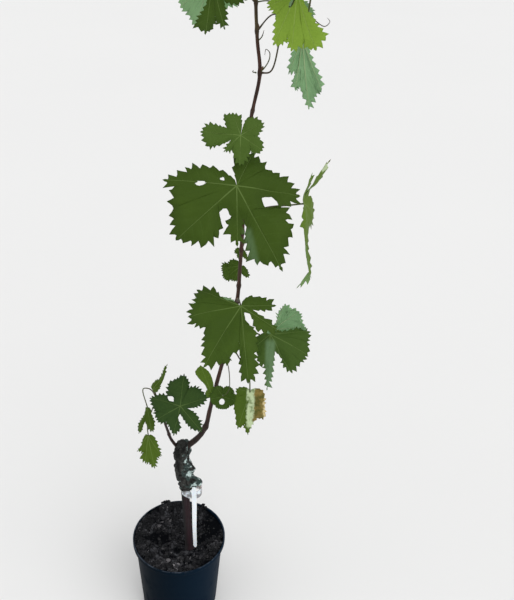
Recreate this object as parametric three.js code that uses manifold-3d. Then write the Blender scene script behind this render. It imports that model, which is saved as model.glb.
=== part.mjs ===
// A young grafted grapevine in a round nursery pot: pot, compost, grafted trunk, one tall
// shoot in four lengths, a short side shoot, a blank loop label, and 31 leaves on their stalks.
// Millimetres, +Z up. The origin is the middle of the pot's flat underside.

import * as THREE from 'three';
import { mergeVertices } from 'three/addons/utils/BufferGeometryUtils.js';
import Module from 'manifold-3d';

const wasm = await Module();
wasm.setup();

// ---------------------------------------------------------------- driving dimensions

const GAP = 0.3;

const POT = {
  height: 150,
  rimRadius: 75,
  lipHeight: 9,
  neckRadius: 70.5,
  footRadius: 62,
  wall: 1.6,
  floor: 2,
  sides: 32,
};
const DRAIN = { count: 6, radius: 5, ring: 47 };

const SOIL_TOP = 142;
const SOIL_UNEVEN = 1.6;
const TRUNK_X = 19;
const TRUNK_Y = -15;
const TRUNK_HEAD = 368;

const STALK = { foot: 1.5, tip: 1.2, sides: 5, steps: 3 };
const BLADE = 1.6;
const SHORT_LOBE = 55;

// ---------------------------------------------------------------- finishes

function finish(colour, roughness) {
  return new THREE.MeshStandardMaterial({ color: colour, roughness, metalness: 0 });
}

const FINISH = {
  pot: finish(0x14161b, 0.45),
  soil: finish(0x1d1a18, 0.95),
  bark: finish(0x2b2826, 0.85),
  cane: finish(0x3a221c, 0.55),
  label: finish(0xf2f3f2, 0.4),
  leaf: finish(0x3f5c20, 0.55),
};

// ---------------------------------------------------------------- solids and meshes

const plant = new THREE.Group();

function toSolid(geometry) {
  const bare = geometry.clone();
  bare.deleteAttribute('normal');
  bare.deleteAttribute('uv');
  const merged = mergeVertices(bare, 1e-4);
  return new wasm.Manifold(new wasm.Mesh({
    numProp: 3,
    vertProperties: new Float32Array(merged.attributes.position.array),
    triVerts: new Uint32Array(merged.index.array),
  }));
}

function toGeometry(solid) {
  const mesh = solid.getMesh();
  const geometry = new THREE.BufferGeometry();
  geometry.setAttribute('position', new THREE.BufferAttribute(mesh.vertProperties, 3));
  geometry.setIndex(new THREE.BufferAttribute(mesh.triVerts, 1));
  return geometry;
}

// What a cut leaves on the far side of the neighbour is dropped.
function largest(solid) {
  return solid.decompose().reduce((best, piece) => (piece.volume() > best.volume() ? piece : best));
}

function add(name, geometry, material) {
  const mesh = new THREE.Mesh(geometry, material);
  mesh.name = name;
  plant.add(mesh);
}

// Skins a stack of rings, which all have the same number of points, into one closed solid.
function skin(rings) {
  const sides = rings[0].length;
  const points = rings.flat();
  const last = points.length - sides;
  const faces = [];
  for (let ring = 0; ring + 1 < rings.length; ring += 1) {
    for (let side = 0; side < sides; side += 1) {
      const a = ring * sides + side;
      const b = ring * sides + (side + 1) % sides;
      faces.push(a, b, b + sides, a, b + sides, a + sides);
    }
  }
  for (let side = 1; side + 1 < sides; side += 1) {
    faces.push(0, side + 1, side);
    faces.push(last, last + side, last + side + 1);
  }
  const geometry = new THREE.BufferGeometry().setFromPoints(points);
  geometry.setIndex(faces);
  return geometry;
}

// ---------------------------------------------------------------- pot and compost

function makePot() {
  const inner = POT.neckRadius - POT.wall;
  const profile = [
    [0, 0],
    [POT.footRadius - 2, 0],
    [POT.footRadius, 2],
    [POT.neckRadius, POT.height - POT.lipHeight],
    [POT.rimRadius, POT.height - POT.lipHeight + 0.5],
    [POT.rimRadius, POT.height],
    [inner, POT.height],
    [inner, POT.height - POT.lipHeight],
    [POT.footRadius - POT.wall, POT.floor],
    [0, POT.floor],
  ];
  const outline = profile.map(([radius, height]) => new THREE.Vector2(radius, height));
  const shell = new THREE.LatheGeometry(outline, POT.sides).rotateX(Math.PI / 2);
  let pot = toSolid(shell);
  for (let hole = 0; hole < DRAIN.count; hole += 1) {
    const angle = (hole + 0.5) / DRAIN.count * 2 * Math.PI;
    const drill = new THREE.CylinderGeometry(DRAIN.radius, DRAIN.radius, 4 * POT.floor, 8)
      .rotateX(Math.PI / 2)
      .translate(DRAIN.ring * Math.cos(angle), DRAIN.ring * Math.sin(angle), 0);
    pot = pot.subtract(toSolid(drill));
  }
  return toGeometry(pot);
}

// The compost is flat round the trunk's foot and uneven nearer the wall.
function makeSoil() {
  const rings = [];
  const wallAt = (height) => {
    const rise = (height - 2) / (POT.height - POT.lipHeight - 2);
    return POT.footRadius + (POT.neckRadius - POT.footRadius) * rise - POT.wall - 2 * GAP;
  };
  const ring = (radius, heightAt) => {
    const points = [];
    for (let side = 0; side < POT.sides; side += 1) {
      const angle = side / POT.sides * 2 * Math.PI;
      const x = radius * Math.cos(angle);
      const y = radius * Math.sin(angle);
      points.push(new THREE.Vector3(x, y, heightAt(x, y)));
    }
    return points;
  };
  const top = (x, y) => {
    const away = Math.hypot(x - TRUNK_X, y - TRUNK_Y);
    const rough = Math.sin(0.16 * x + 1) * Math.sin(0.13 * y) + 0.4 * Math.sin(0.31 * (x - y));
    return SOIL_TOP + SOIL_UNEVEN * rough * THREE.MathUtils.smoothstep(away, 14, 30);
  };
  const floor = POT.floor + GAP;
  rings.push(ring(wallAt(floor), () => floor));
  rings.push(ring(wallAt(SOIL_TOP - 5), () => SOIL_TOP - 5));
  rings.push(ring(wallAt(SOIL_TOP - 3), top));
  rings.push(ring(50, top));
  rings.push(ring(36, top));
  rings.push(ring(8, () => SOIL_TOP));
  return skin(rings);
}

add('pot', makePot(), FINISH.pot);
add('soil', makeSoil(), FINISH.soil);

// ---------------------------------------------------------------- trunk

// Level rings up the rootstock to the graft: height, middle in x, radius.
const TRUNK = [
  [SOIL_TOP + GAP, TRUNK_X, 9.5],
  [149, 18.5, 7.4],
  [168, 17, 6.4],
  [210, 15, 5.9],
  [252, 13, 5.7],
  [273, 13, 6.2],
  [275, 14, 10],
  [286, 14.5, 11.8],
  [302, 12, 13],
  [320, 9.5, 12.2],
  [338, 8, 11.8],
  [354, 8.5, 12.6],
  [363, 9.5, 11.2],
  [TRUNK_HEAD, 10.5, 7],
];
const KNOT = { x: 31, z: 289, length: 10, radius: 8.5 };

function makeTrunk(grow) {
  const sides = 12;
  const rings = TRUNK.map(([height, middle, radius], index) => {
    const points = [];
    for (let side = 0; side < sides; side += 1) {
      const angle = side / sides * 2 * Math.PI;
      const gnarl = height > 270 ? 1 + 0.07 * Math.sin(3 * angle + 1.7 * index) : 1;
      const reach = radius * gnarl + grow;
      points.push(new THREE.Vector3(
        middle + reach * Math.cos(angle),
        TRUNK_Y + reach * Math.sin(angle),
        height,
      ));
    }
    return points;
  });
  const knot = new THREE.SphereGeometry(KNOT.radius + grow, 8, 6)
    .scale(KNOT.length / KNOT.radius, 0.85, 1)
    .translate(KNOT.x, TRUNK_Y, KNOT.z);
  const spur = new THREE.ConeGeometry(4 + grow, 12, 6)
    .rotateZ(-Math.PI / 2)
    .translate(24, TRUNK_Y - 2, 318);
  return toSolid(skin(rings)).add(toSolid(knot)).add(toSolid(spur));
}

add('trunk', toGeometry(makeTrunk(0)), FINISH.bark);

// ---------------------------------------------------------------- limbs

// A limb is a smooth line through its stations, each x, y, z and radius.
class Limb {
  constructor(stations) {
    this.line = new THREE.CatmullRomCurve3(stations.map(([x, y, z]) => new THREE.Vector3(x, y, z)));
    this.radii = stations.map((station) => station[3]);
  }

  radiusAt(t) {
    const place = t * (this.radii.length - 1);
    const index = Math.min(Math.floor(place), this.radii.length - 2);
    return THREE.MathUtils.lerp(this.radii[index], this.radii[index + 1], place - index);
  }

  // The point of the line at a height, found by halving.
  pointAtHeight(height) {
    let low = 0;
    let high = 1;
    for (let turn = 0; turn < 30; turn += 1) {
      const middle = (low + high) / 2;
      if (this.line.getPoint(middle).z < height) {
        low = middle;
      } else {
        high = middle;
      }
    }
    return this.line.getPoint(low);
  }

  // One closed length between two parameters, grown by a clearance where it cuts a neighbour.
  geometry(from, to, steps, sides, grow) {
    const rings = [];
    const first = this.line.getTangent(from);
    const across = new THREE.Vector3(0, 1, 0).cross(first).normalize();
    for (let step = 0; step <= steps; step += 1) {
      const t = THREE.MathUtils.lerp(from, to, step / steps);
      const centre = this.line.getPoint(t);
      const tangent = this.line.getTangent(t);
      across.addScaledVector(tangent, -across.dot(tangent)).normalize();
      const other = tangent.clone().cross(across);
      const radius = this.radiusAt(t) + grow;
      const ring = [];
      for (let side = 0; side < sides; side += 1) {
        const angle = side / sides * 2 * Math.PI;
        ring.push(centre.clone()
          .addScaledVector(across, radius * Math.cos(angle))
          .addScaledVector(other, radius * Math.sin(angle)));
      }
      rings.push(ring);
    }
    return skin(rings);
  }
}

const shoot = new Limb([
  [12, -15, 356, 4.6],
  [30, -15, 375, 4.1],
  [42, -14, 396, 3.6],
  [49, -12, 432, 3.1],
  [59, -12, 484, 2.8],
  [73, -12, 556, 2.6],
  [82, -12, 612, 2.5],
  [84.5, -12, 668, 2.4],
  [86, -12, 730, 2.3],
  [86, -12, 790, 2.2],
  [87, -12, 835, 2.1],
  [93, -12, 873, 2],
  [98.5, -12, 910, 2],
  [94, -12, 948, 1.9],
  [91, -12, 990, 1.8],
  [93, -9, 1030, 1.7],
  [98, -5, 1070, 1.6],
  [97, -2, 1110, 1.4],
  [92, 0, 1150, 1.2],
  [92, 3, 1182, 0.9],
  [96, 6, 1212, 0.6],
]);
const sideShoot = new Limb([
  [6, -15, 350, 2.6],
  [-6, -19, 373, 2.2],
  [-10, -33, 405, 1.9],
  [-13, -42, 430, 1.7],
  [-16, -46, 452, 1.5],
  [-20, -49, 470, 1.3],
  [-23, -52, 488, 1],
]);

// The shoot is cut into four lengths at its bends, each a hair short of the next.
const SHOOT_CUTS = [0, 0.25, 0.5, 0.75, 1];
const CUT_STEPS = 6;
const CUT_GAP = 0.0002;
const SIDE_STEPS = 7;

function makeLimbs() {
  const trunkRoom = makeTrunk(GAP);
  for (let length = 0; length + 1 < SHOOT_CUTS.length; length += 1) {
    const from = SHOOT_CUTS[length] + (length ? CUT_GAP : 0);
    const piece = toSolid(shoot.geometry(from, SHOOT_CUTS[length + 1], CUT_STEPS, 8, 0));
    add(`shoot_${length + 1}`, toGeometry(length ? piece : largest(piece.subtract(trunkRoom))), FINISH.cane);
  }
  const side = toSolid(sideShoot.geometry(0, 1, SIDE_STEPS, 7, 0)).subtract(trunkRoom);
  add('side_shoot', toGeometry(largest(side)), FINISH.cane);
}

makeLimbs();

// ---------------------------------------------------------------- loop label

const LABEL = { x: 22.2, z: 264, halfWidth: 17, halfDepth: 13, height: 9, thickness: 1 };
const TAIL = { top: [27, -28.8, 290], bottom: [29, -28.8, 156], width: 9.5, thickness: 0.8 };

function makeLabelLoop() {
  const turn = new THREE.EllipseCurve(0, 0, LABEL.halfWidth, LABEL.halfDepth);
  const hole = new THREE.EllipseCurve(
    0, 0, LABEL.halfWidth - LABEL.thickness, LABEL.halfDepth - LABEL.thickness,
  );
  const outline = new THREE.Shape(turn.getPoints(18));
  outline.holes.push(new THREE.Path(hole.getPoints(18)));
  const band = new THREE.ExtrudeGeometry(outline, { depth: LABEL.height, bevelEnabled: false });
  return band.translate(LABEL.x, TRUNK_Y, LABEL.z);
}

function makeLabelTail() {
  const top = new THREE.Vector3(...TAIL.top);
  const bottom = new THREE.Vector3(...TAIL.bottom);
  const middle = top.clone().add(bottom).multiplyScalar(0.5);
  const lean = Math.atan2(bottom.x - top.x, top.z - bottom.z);
  return new THREE.BoxGeometry(TAIL.width, TAIL.thickness, top.distanceTo(bottom))
    .rotateY(-lean)
    .translate(middle.x, middle.y, middle.z);
}

add('label_loop', makeLabelLoop(), FINISH.label);
add('label_tail', makeLabelTail(), FINISH.label);

// ---------------------------------------------------------------- leaves

// A leaf is drawn flat about the point where its stalk meets it. Angles run from straight
// downhill, 0, towards the right hand of someone who looks at its upper side.
function polar(angle, radius) {
  const turn = THREE.MathUtils.degToRad(angle);
  return new THREE.Vector2(radius * Math.cos(turn), radius * Math.sin(turn));
}

// Rolls what lies beyond a line round a cylinder: the line's direction from the stalk, its
// distance, the cylinder's radius and the angle rolled, positive towards the upper side.
function roll(point, [direction, distance, radius, angle]) {
  const way = polar(direction, 1);
  const beyond = point.x * way.x + point.y * way.y - distance;
  if (beyond <= 0) {
    return point;
  }
  const side = Math.sign(angle);
  const full = Math.abs(THREE.MathUtils.degToRad(angle));
  const turned = Math.min(beyond / radius, full);
  const past = Math.max(beyond - radius * full, 0);
  const along = radius * Math.sin(turned) + past * Math.cos(full) - side * point.z * Math.sin(turned);
  const up = radius * (1 - Math.cos(turned)) + past * Math.sin(full);
  return new THREE.Vector3(
    point.x + way.x * (along - beyond),
    point.y + way.y * (along - beyond),
    side * up + point.z * Math.cos(turned),
  );
}

// The leaf's axes: downhill, right hand and upper side, from a compass bearing and a tilt.
function leafAxes([bearing, tilt]) {
  const b = THREE.MathUtils.degToRad(bearing);
  const t = THREE.MathUtils.degToRad(tilt);
  return {
    down: new THREE.Vector3(Math.sin(b) * Math.sin(t), -Math.cos(b) * Math.sin(t), -Math.cos(t)),
    right: new THREE.Vector3(Math.cos(b), Math.sin(b), 0),
    face: new THREE.Vector3(Math.sin(b) * Math.cos(t), -Math.cos(b) * Math.cos(t), Math.sin(t)),
  };
}

// How far along its free part a lobe has a row of points: a small lobe has fewer.
function rows(length) {
  return length < SHORT_LOBE ? [0, 0.6] : [0, 0.4, 0.8];
}

// One side of a lobe, from the notch beside it to its tip.
function lobeSide([angle, length, left, right, point], notch, side) {
  const along = polar(angle, 1);
  const across = polar(angle + 90, side);
  const start = polar(...notch);
  const from = start.dot(along);
  const out = start.dot(across);
  const free = length - from;
  const width = side < 0 ? left : right;
  const curve = new THREE.CubicBezierCurve(
    new THREE.Vector2(from, out),
    new THREE.Vector2(from + 0.12 * free, Math.max(1.3 * width, out)),
    new THREE.Vector2(length - point * free, 1.3 * width),
    new THREE.Vector2(length, 0),
  );
  return rows(length).map((t) => {
    const place = curve.getPoint(t);
    return along.clone().multiplyScalar(place.x).addScaledVector(across, place.y);
  });
}

function leafBlade(leaf) {
  const flat = [new THREE.Vector2(0, 0)];
  const faces = [];
  const put = (point) => flat.push(point) - 1;
  const edge = [];
  let shared = null;
  leaf.lobes.forEach((lobe, index) => {
    const [angle, length] = lobe;
    const leftSide = lobeSide(lobe, leaf.notches[index], -1);
    const rightSide = lobeSide(lobe, leaf.notches[index + 1], 1);
    const leftRow = leftSide.map((point, step) => (step === 0 && shared !== null ? shared : put(point)));
    const rightRow = rightSide.map(put);
    const inner = 0.6 * Math.min(leaf.notches[index][1], leaf.notches[index + 1][1]);
    const vein = rows(length).map((t) => put(polar(angle, THREE.MathUtils.lerp(inner, length, t))));
    const tip = put(polar(angle, length));
    faces.push([0, vein[0], leftRow[0]], [0, rightRow[0], vein[0]]);
    const last = vein.length - 1;
    for (let step = 0; step < last; step += 1) {
      faces.push([leftRow[step], vein[step], vein[step + 1]]);
      faces.push([leftRow[step], vein[step + 1], leftRow[step + 1]]);
      faces.push([vein[step], rightRow[step], rightRow[step + 1]]);
      faces.push([vein[step], rightRow[step + 1], vein[step + 1]]);
    }
    faces.push([leftRow[last], vein[last], tip], [vein[last], rightRow[last], tip]);
    edge.push(...leftRow, tip, ...rightRow.slice(1).reverse());
    shared = rightRow[0];
  });
  edge.push(shared, 0);

  const { down, right, face } = leafAxes(leaf.face);
  const root = new THREE.Vector3(...leaf.at);
  const place = (point, height) => {
    const sag = leaf.dome * (point.length() / 100) ** 2;
    let solid = new THREE.Vector3(point.x, point.y, height - sag);
    for (const bend of leaf.rolls ?? []) {
      solid = roll(solid, bend);
    }
    return root.clone()
      .addScaledVector(down, solid.x)
      .addScaledVector(right, solid.y)
      .addScaledVector(face, solid.z);
  };
  const count = flat.length;
  const points = [...flat.map((p) => place(p, BLADE / 2)), ...flat.map((p) => place(p, -BLADE / 2))];
  const index = [];
  for (const [a, b, c] of faces) {
    index.push(a, c, b, a + count, b + count, c + count);
  }
  edge.forEach((a, step) => {
    const b = edge[(step + 1) % edge.length];
    index.push(a, a + count, b + count, a, b + count, b);
  });
  const geometry = new THREE.BufferGeometry().setFromPoints(points);
  geometry.setIndex(index);
  return geometry;
}

// The stalk leaves the limb outwards and upwards, and meets the blade from below.
function leafStalk(leaf) {
  const { face } = leafAxes(leaf.face);
  const start = leaf.limb.pointAtHeight(leaf.node);
  const end = new THREE.Vector3(...leaf.at);
  const reach = start.distanceTo(end);
  const via = leaf.via ? leaf.via.map((place) => new THREE.Vector3(...place)) : [
    start.clone().lerp(end, 0.35).add(new THREE.Vector3(0, 0, 0.08 * reach)),
    end.clone().addScaledVector(face, -0.22 * reach),
  ];
  const stations = [start, ...via, end].map((place, index, all) => {
    const radius = THREE.MathUtils.lerp(STALK.foot, STALK.tip, index / (all.length - 1));
    return [...place.toArray(), radius];
  });
  return new Limb(stations).geometry(0, 1, STALK.steps, STALK.sides, 0);
}

// Each lobe: angle, length, half width left and right, and how pointed it is.
// Each notch: angle and distance from the stalk. There is one more notch than lobes.
const PLAIN_LOBES = [
  [-104, 0.62, 0.23, 0.23, 0.15],
  [-50, 0.8, 0.25, 0.23, 0.2],
  [0, 1, 0.25, 0.25, 0.25],
  [50, 0.8, 0.23, 0.25, 0.2],
  [104, 0.62, 0.23, 0.23, 0.15],
];
const PLAIN_NOTCHES = [[-168, 0.1], [-76, 0.46], [-25, 0.54], [25, 0.54], [76, 0.46], [168, 0.1]];

function plainLeaf(size) {
  return {
    dome: 4,
    lobes: PLAIN_LOBES.map(([angle, length, left, right, point]) => (
      [angle, size * length, size * left, size * right, point])),
    notches: PLAIN_NOTCHES.map(([angle, depth]) => [angle, size * depth]),
  };
}

const LEAVES = [
  { limb: sideShoot, node: 448, at: [-38, -34, 394], face: [-10, 35], dome: 3,
    via: [[-26, -30, 450], [-37, -38, 418]],
    lobes: [[-62, 20, 7, 8, 0.1], [-30, 27, 8, 7, 0.1], [2, 36, 8, 8, 0.15],
      [30, 34, 8, 8, 0.12], [64, 20, 8, 7, 0.1]],
    notches: [[-120, 4], [-46, 20], [-14, 25], [16, 31], [46, 24], [125, 4]] },
  { limb: sideShoot, node: 462, at: [-36, -42, 452], face: [-35, 30], dome: 3,
    via: [[-30, -44, 486], [-40, -43, 486]],
    lobes: [[-60, 15, 5, 5, 0.2], [-4, 42, 8, 7, 0.25], [44, 35, 8, 7, 0.2]],
    notches: [[-130, 4], [-38, 11], [18, 22], [120, 4]] },
  { limb: sideShoot, node: 478, at: [-25, -56, 494], face: [-60, 30], dome: 2,
    via: [],
    lobes: [[-210, 15, 5, 4, 0.3], [-180, 42, 5, 5, 0.4], [-150, 16, 4, 5, 0.3]],
    notches: [[-260, 4], [-198, 11], [-165, 11], [-100, 4]] },
  { limb: sideShoot, node: 432, at: [15, -85, 494], face: [-10, 50], dome: 5,
    lobes: [[-172, 40, 13, 12, 0.12], [-92, 41, 12, 12, 0.1], [-42, 34, 11, 10, 0.12],
      [6, 38, 11, 8, 0.12], [48, 43, 7, 7, 0.12], [126, 34, 12, 12, 0.1]],
    notches: [[150, 22], [-114, 12], [-66, 34], [-24, 29], [26, 11], [80, 11], [156, 20]] },
  { limb: shoot, node: 450, at: [54, -34, 471], face: [0, 40], dome: 2,
    lobes: [[-185, 14, 5, 5, 0.1], [-147, 46, 5, 6, 0.05], [-110, 13, 6, 5, 0.1]],
    notches: [[-220, 4], [-170, 10], [-128, 10], [-70, 4]] },
  { limb: shoot, node: 528, at: [68, -38, 474], face: [0, 45], dome: 4,
    via: [[75, -36, 520], [76, -42, 490]],
    lobes: [[-150, 15, 7, 8, 0.05], [-75, 17, 8, 8, 0.05], [0, 17, 8, 8, 0.05],
      [75, 19, 8, 8, 0.05], [140, 18, 8, 7, 0.05]],
    notches: [[178, 5], [-112, 13], [-38, 13], [38, 14], [108, 14], [172, 5]] },
  { limb: shoot, node: 560, at: [105, -70, 511], face: [0, 20], dome: 3,
    via: [[84, -50, 560], [102, -66, 536]],
    lobes: [[-80, 18, 7, 8, 0.1], [-14, 50, 10, 7, 0.1], [0, 58, 7, 7, 0.15],
      [24, 45, 8, 9, 0.1], [78, 22, 8, 8, 0.1]],
    notches: [[-150, 4], [-45, 15], [-7, 44], [12, 40], [48, 20], [150, 4]] },
  { limb: shoot, node: 566, at: [127, -55, 594], face: [15, 50], dome: 5,
    lobes: [[-45, 30, 9, 9, 0.15], [-12, 68, 9, 8, 0.2], [23, 53, 10, 13, 0.3], [74, 50, 13, 14, 0.1]],
    notches: [[-110, 6], [-27, 30], [10, 24], [50, 45], [120, 8]] },
  { limb: shoot, node: 545, at: [131, -30, 585], face: [170, 15], dome: 4,
    lobes: [[-166, 48, 10, 10, 0.15], [-143, 58, 11, 11, 0.15], [-112, 52, 12, 10, 0.12],
      [-60, 30, 10, 10, 0.15], [20, 30, 10, 10, 0.15]],
    notches: [[150, 6], [-155, 42], [-127, 42], [-88, 22], [-20, 16], [100, 6]] },
  { limb: shoot, node: 614, at: [89, -75, 647], face: [-5, 48], dome: 6,
    lobes: [[-113, 50, 7, 15, 0.1], [-80, 61, 15, 17, 0.1], [-28, 75, 20, 18, 0.08],
      [12, 92, 12, 13, 0.06], [72, 50, 9, 11, 0.2], [103, 44, 10, 10, 0.25]],
    notches: [[-104, 18], [-97, 52], [-53, 48], [-4, 52], [28, 11], [86, 17], [150, 7]] },
  { limb: shoot, node: 560, at: [51, 48, 577], face: [175, 30], ...plainLeaf(46) },
  { limb: shoot, node: 638, at: [84, 15, 652], face: [-10, 45], dome: 3,
    lobes: [[-100, 17, 6, 6, 0.1], [-74, 25, 7, 7, 0.1], [-40, 27, 7, 6, 0.1],
      [-12, 22, 6, 5, 0.15], [45, 19, 4, 4, 0.2]],
    notches: [[-150, 5], [-88, 16], [-58, 22], [-30, 17], [15, 8], [110, 4]] },
  { limb: shoot, node: 700, at: [83, 14, 678], face: [0, 30], dome: 1,
    lobes: [[-50, 9, 3, 3, 0.2], [2, 14, 4, 3, 0.25], [38, 17, 3, 3, 0.25]],
    notches: [[-120, 3], [-22, 6], [20, 7], [110, 3]] },
  { limb: shoot, node: 735, at: [160, 0, 752], face: [84, 14], dome: 5,
    lobes: [[-115, 46, 13, 13, 0.2], [-50, 60, 14, 13, 0.2], [-4, 124, 12, 13, 0.3],
      [48, 66, 13, 14, 0.2], [150, 60, 12, 12, 0.3]],
    notches: [[-160, 6], [-80, 24], [-26, 34], [22, 38], [95, 22], [180, 6]],
    rolls: [[-90, 3, 14, 10], [90, 3, 14, 8], [0, 90, 12, -50], [180, 3, 16, 62]] },
  { limb: shoot, node: 715, at: [31, 52, 732], face: [185, 35], ...plainLeaf(42) },
  { limb: shoot, node: 775, at: [80, -95, 812], face: [5, 38], dome: 6,
    lobes: [[-90, 75, 10, 20, 0.08], [-46, 80, 24, 22, 0.08], [1, 69, 8, 8, 0.25],
      [27, 100, 18, 20, 0.2], [85, 74, 12, 13, 0.2], [152, 36, 14, 18, 0.08]],
    notches: [[-140, 10], [-68, 66], [-26, 31], [13, 37], [60, 31], [116, 36], [186, 7]] },
  { limb: shoot, node: 690, at: [110, 58, 708], face: [170, 35], ...plainLeaf(38) },
  { limb: shoot, node: 826, at: [82, -80, 863], face: [0, 35], dome: 4,
    lobes: [[-160, 24, 8, 9, 0.05], [-96, 41, 14, 14, 0.05], [-40, 24, 8, 8, 0.1],
      [-6, 31, 8, 8, 0.1], [60, 26, 11, 10, 0.05], [122, 26, 11, 11, 0.05]],
    notches: [[-178, 7], [-118, 16], [-60, 17], [-20, 24], [24, 19], [98, 22], [172, 8]] },
  { limb: shoot, node: 1012, at: [144, 25, 940], face: [175, 12], dome: 4,
    via: [[112, 6, 1046], [148, 24, 1000]],
    lobes: [[-62, 22, 6, 7, 0.1], [-28, 60, 5, 9, 0.1], [-8, 82, 8, 7, 0.3],
      [10, 50, 7, 6, 0.1], [48, 22, 6, 6, 0.1]],
    notches: [[-140, 4], [-44, 20], [-18, 60], [4, 48], [28, 20], [130, 4]] },
  { limb: shoot, node: 911, at: [133, -20, 996], face: [10, 35], dome: 5,
    via: [[110, -16, 914], [120, -28, 960]],
    lobes: [[-105, 34, 12, 12, 0.15], [-28, 55, 6, 8, 0.15], [10, 58, 10, 8, 0.12],
      [32, 56, 8, 5, 0.4], [110, 38, 14, 14, 0.2]],
    notches: [[-160, 7], [-62, 28], [-8, 40], [22, 56], [52, 22], [165, 7]] },
  { limb: shoot, node: 955, at: [138, 60, 971], face: [165, 35], ...plainLeaf(44) },
  { limb: shoot, node: 1026, at: [44, 2, 1005], face: [165, 12], dome: 4,
    via: [[78, 4, 1050], [46, 6, 1040]],
    lobes: [[-50, 38, 12, 12, 0.2], [22, 54, 10, 10, 0.15], [42, 54, 11, 12, 0.15],
      [110, 34, 12, 12, 0.2]],
    notches: [[-120, 6], [-14, 26], [31, 50], [76, 24], [170, 6]] },
  { limb: shoot, node: 984, at: [47, -30, 1007], face: [10, 35], dome: 4,
    lobes: [[-95, 46, 14, 14, 0.2], [-20, 56, 3, 10, 0.12], [14, 53, 10, 9, 0.2],
      [62, 38, 11, 11, 0.2], [125, 30, 12, 12, 0.2]],
    notches: [[-165, 6], [-40, 14], [2, 42], [36, 32], [92, 20], [170, 6]] },
  { limb: shoot, node: 1046, at: [138, -52, 1066], face: [35, 32], ...plainLeaf(56) },
  { limb: shoot, node: 1066, at: [42, -48, 1086], face: [-35, 35], ...plainLeaf(52) },
  { limb: shoot, node: 1078, at: [146, 48, 1092], face: [140, 38], ...plainLeaf(50) },
  { limb: shoot, node: 1100, at: [52, 50, 1112], face: [215, 38], ...plainLeaf(44) },
  { limb: shoot, node: 1134, at: [128, -18, 1150], face: [60, 45], ...plainLeaf(34) },
  { limb: shoot, node: 1150, at: [66, -20, 1166], face: [-45, 45], ...plainLeaf(28) },
  { limb: shoot, node: 1170, at: [108, 22, 1182], face: [150, 50], ...plainLeaf(22) },
  { limb: shoot, node: 1190, at: [84, -8, 1202], face: [-20, 55], ...plainLeaf(16) },
];

function makeLeaves() {
  const shootRoom = toSolid(shoot.geometry(0, 1, 4 * CUT_STEPS, 8, GAP));
  const sideRoom = toSolid(sideShoot.geometry(0, 1, SIDE_STEPS, 7, GAP));
  LEAVES.forEach((leaf, index) => {
    const whole = toSolid(leafBlade(leaf)).add(toSolid(leafStalk(leaf)));
    const room = leaf.limb === shoot ? shootRoom : sideRoom;
    const name = `leaf_${String(index + 1).padStart(2, '0')}`;
    add(name, toGeometry(largest(whole.subtract(room))), FINISH.leaf);
  });
}

makeLeaves();

export default plant;
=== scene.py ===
import math

import bpy
import numpy as np
from mathutils import Matrix, Vector


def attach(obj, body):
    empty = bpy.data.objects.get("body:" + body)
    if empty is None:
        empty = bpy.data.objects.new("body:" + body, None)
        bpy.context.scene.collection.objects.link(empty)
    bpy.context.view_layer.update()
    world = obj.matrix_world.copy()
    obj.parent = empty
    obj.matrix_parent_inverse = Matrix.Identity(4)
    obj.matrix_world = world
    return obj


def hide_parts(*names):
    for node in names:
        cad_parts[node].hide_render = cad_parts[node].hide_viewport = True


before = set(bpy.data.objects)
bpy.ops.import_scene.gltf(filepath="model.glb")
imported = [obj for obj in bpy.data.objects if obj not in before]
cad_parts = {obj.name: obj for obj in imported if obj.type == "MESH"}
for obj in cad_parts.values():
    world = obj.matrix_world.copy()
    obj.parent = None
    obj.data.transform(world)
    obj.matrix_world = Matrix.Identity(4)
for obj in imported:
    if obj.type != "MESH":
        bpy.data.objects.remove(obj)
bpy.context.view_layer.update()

# ---------------------------------------------------------------- room
# The potted vine stands on a seamless pale floor in a bright room. Soft light comes from a
# wide window to the front right and a weaker one to the left, and white walls do the rest.

EYE = Vector((0.108, -0.853, 1.139))
LOOK_DOWN = math.radians(31.8)
LEAN = math.radians(-2.9)
LENS_MM = 45.6
SENSOR_MM = 36
FLOOR_HALF_WIDTH = 12
WALL_GLOW = 0.7
WINDOW_SPREAD = 60
# Each window: the way that its light comes from, its strength and its colour.
WINDOWS = {
    "window": ((0.55, -0.75, 1.0), 1.35, (1, 1, 0.99)),
    "far_window": ((-0.9, -0.5, 0.8), 0.35, (0.99, 1, 1)),
}

# The Mix node's numbers for its share, the colour under, the colour over and the result.
MIX_SHARE, MIX_UNDER, MIX_OVER, MIX_RESULT = 0, 6, 7, 2


def place_camera():
    ahead = Vector((0, math.cos(LOOK_DOWN), -math.sin(LOOK_DOWN)))
    level_up = Vector((0, math.sin(LOOK_DOWN), math.cos(LOOK_DOWN)))
    right = Vector((math.cos(LEAN), 0, 0)) - math.sin(LEAN) * level_up
    up = Vector((math.sin(LEAN), 0, 0)) + math.cos(LEAN) * level_up
    data = bpy.data.cameras.new("camera")
    data.lens = LENS_MM
    data.sensor_width = SENSOR_MM
    camera = bpy.data.objects.new("camera", data)
    turn = Matrix((right, up, -ahead)).transposed().to_4x4()
    camera.matrix_world = Matrix.Translation(EYE) @ turn
    bpy.context.scene.collection.objects.link(camera)
    bpy.context.scene.camera = camera


def shine(name, way, strength, colour):
    """Adds distant light that comes from that way, as from a wide window."""
    data = bpy.data.lights.new(name, "SUN")
    data.energy = strength
    data.angle = math.radians(WINDOW_SPREAD)
    data.color = colour
    lamp = bpy.data.objects.new(name, data)
    lamp.rotation_euler = Vector(way).to_track_quat("Z", "Y").to_euler()
    bpy.context.scene.collection.objects.link(lamp)


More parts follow.
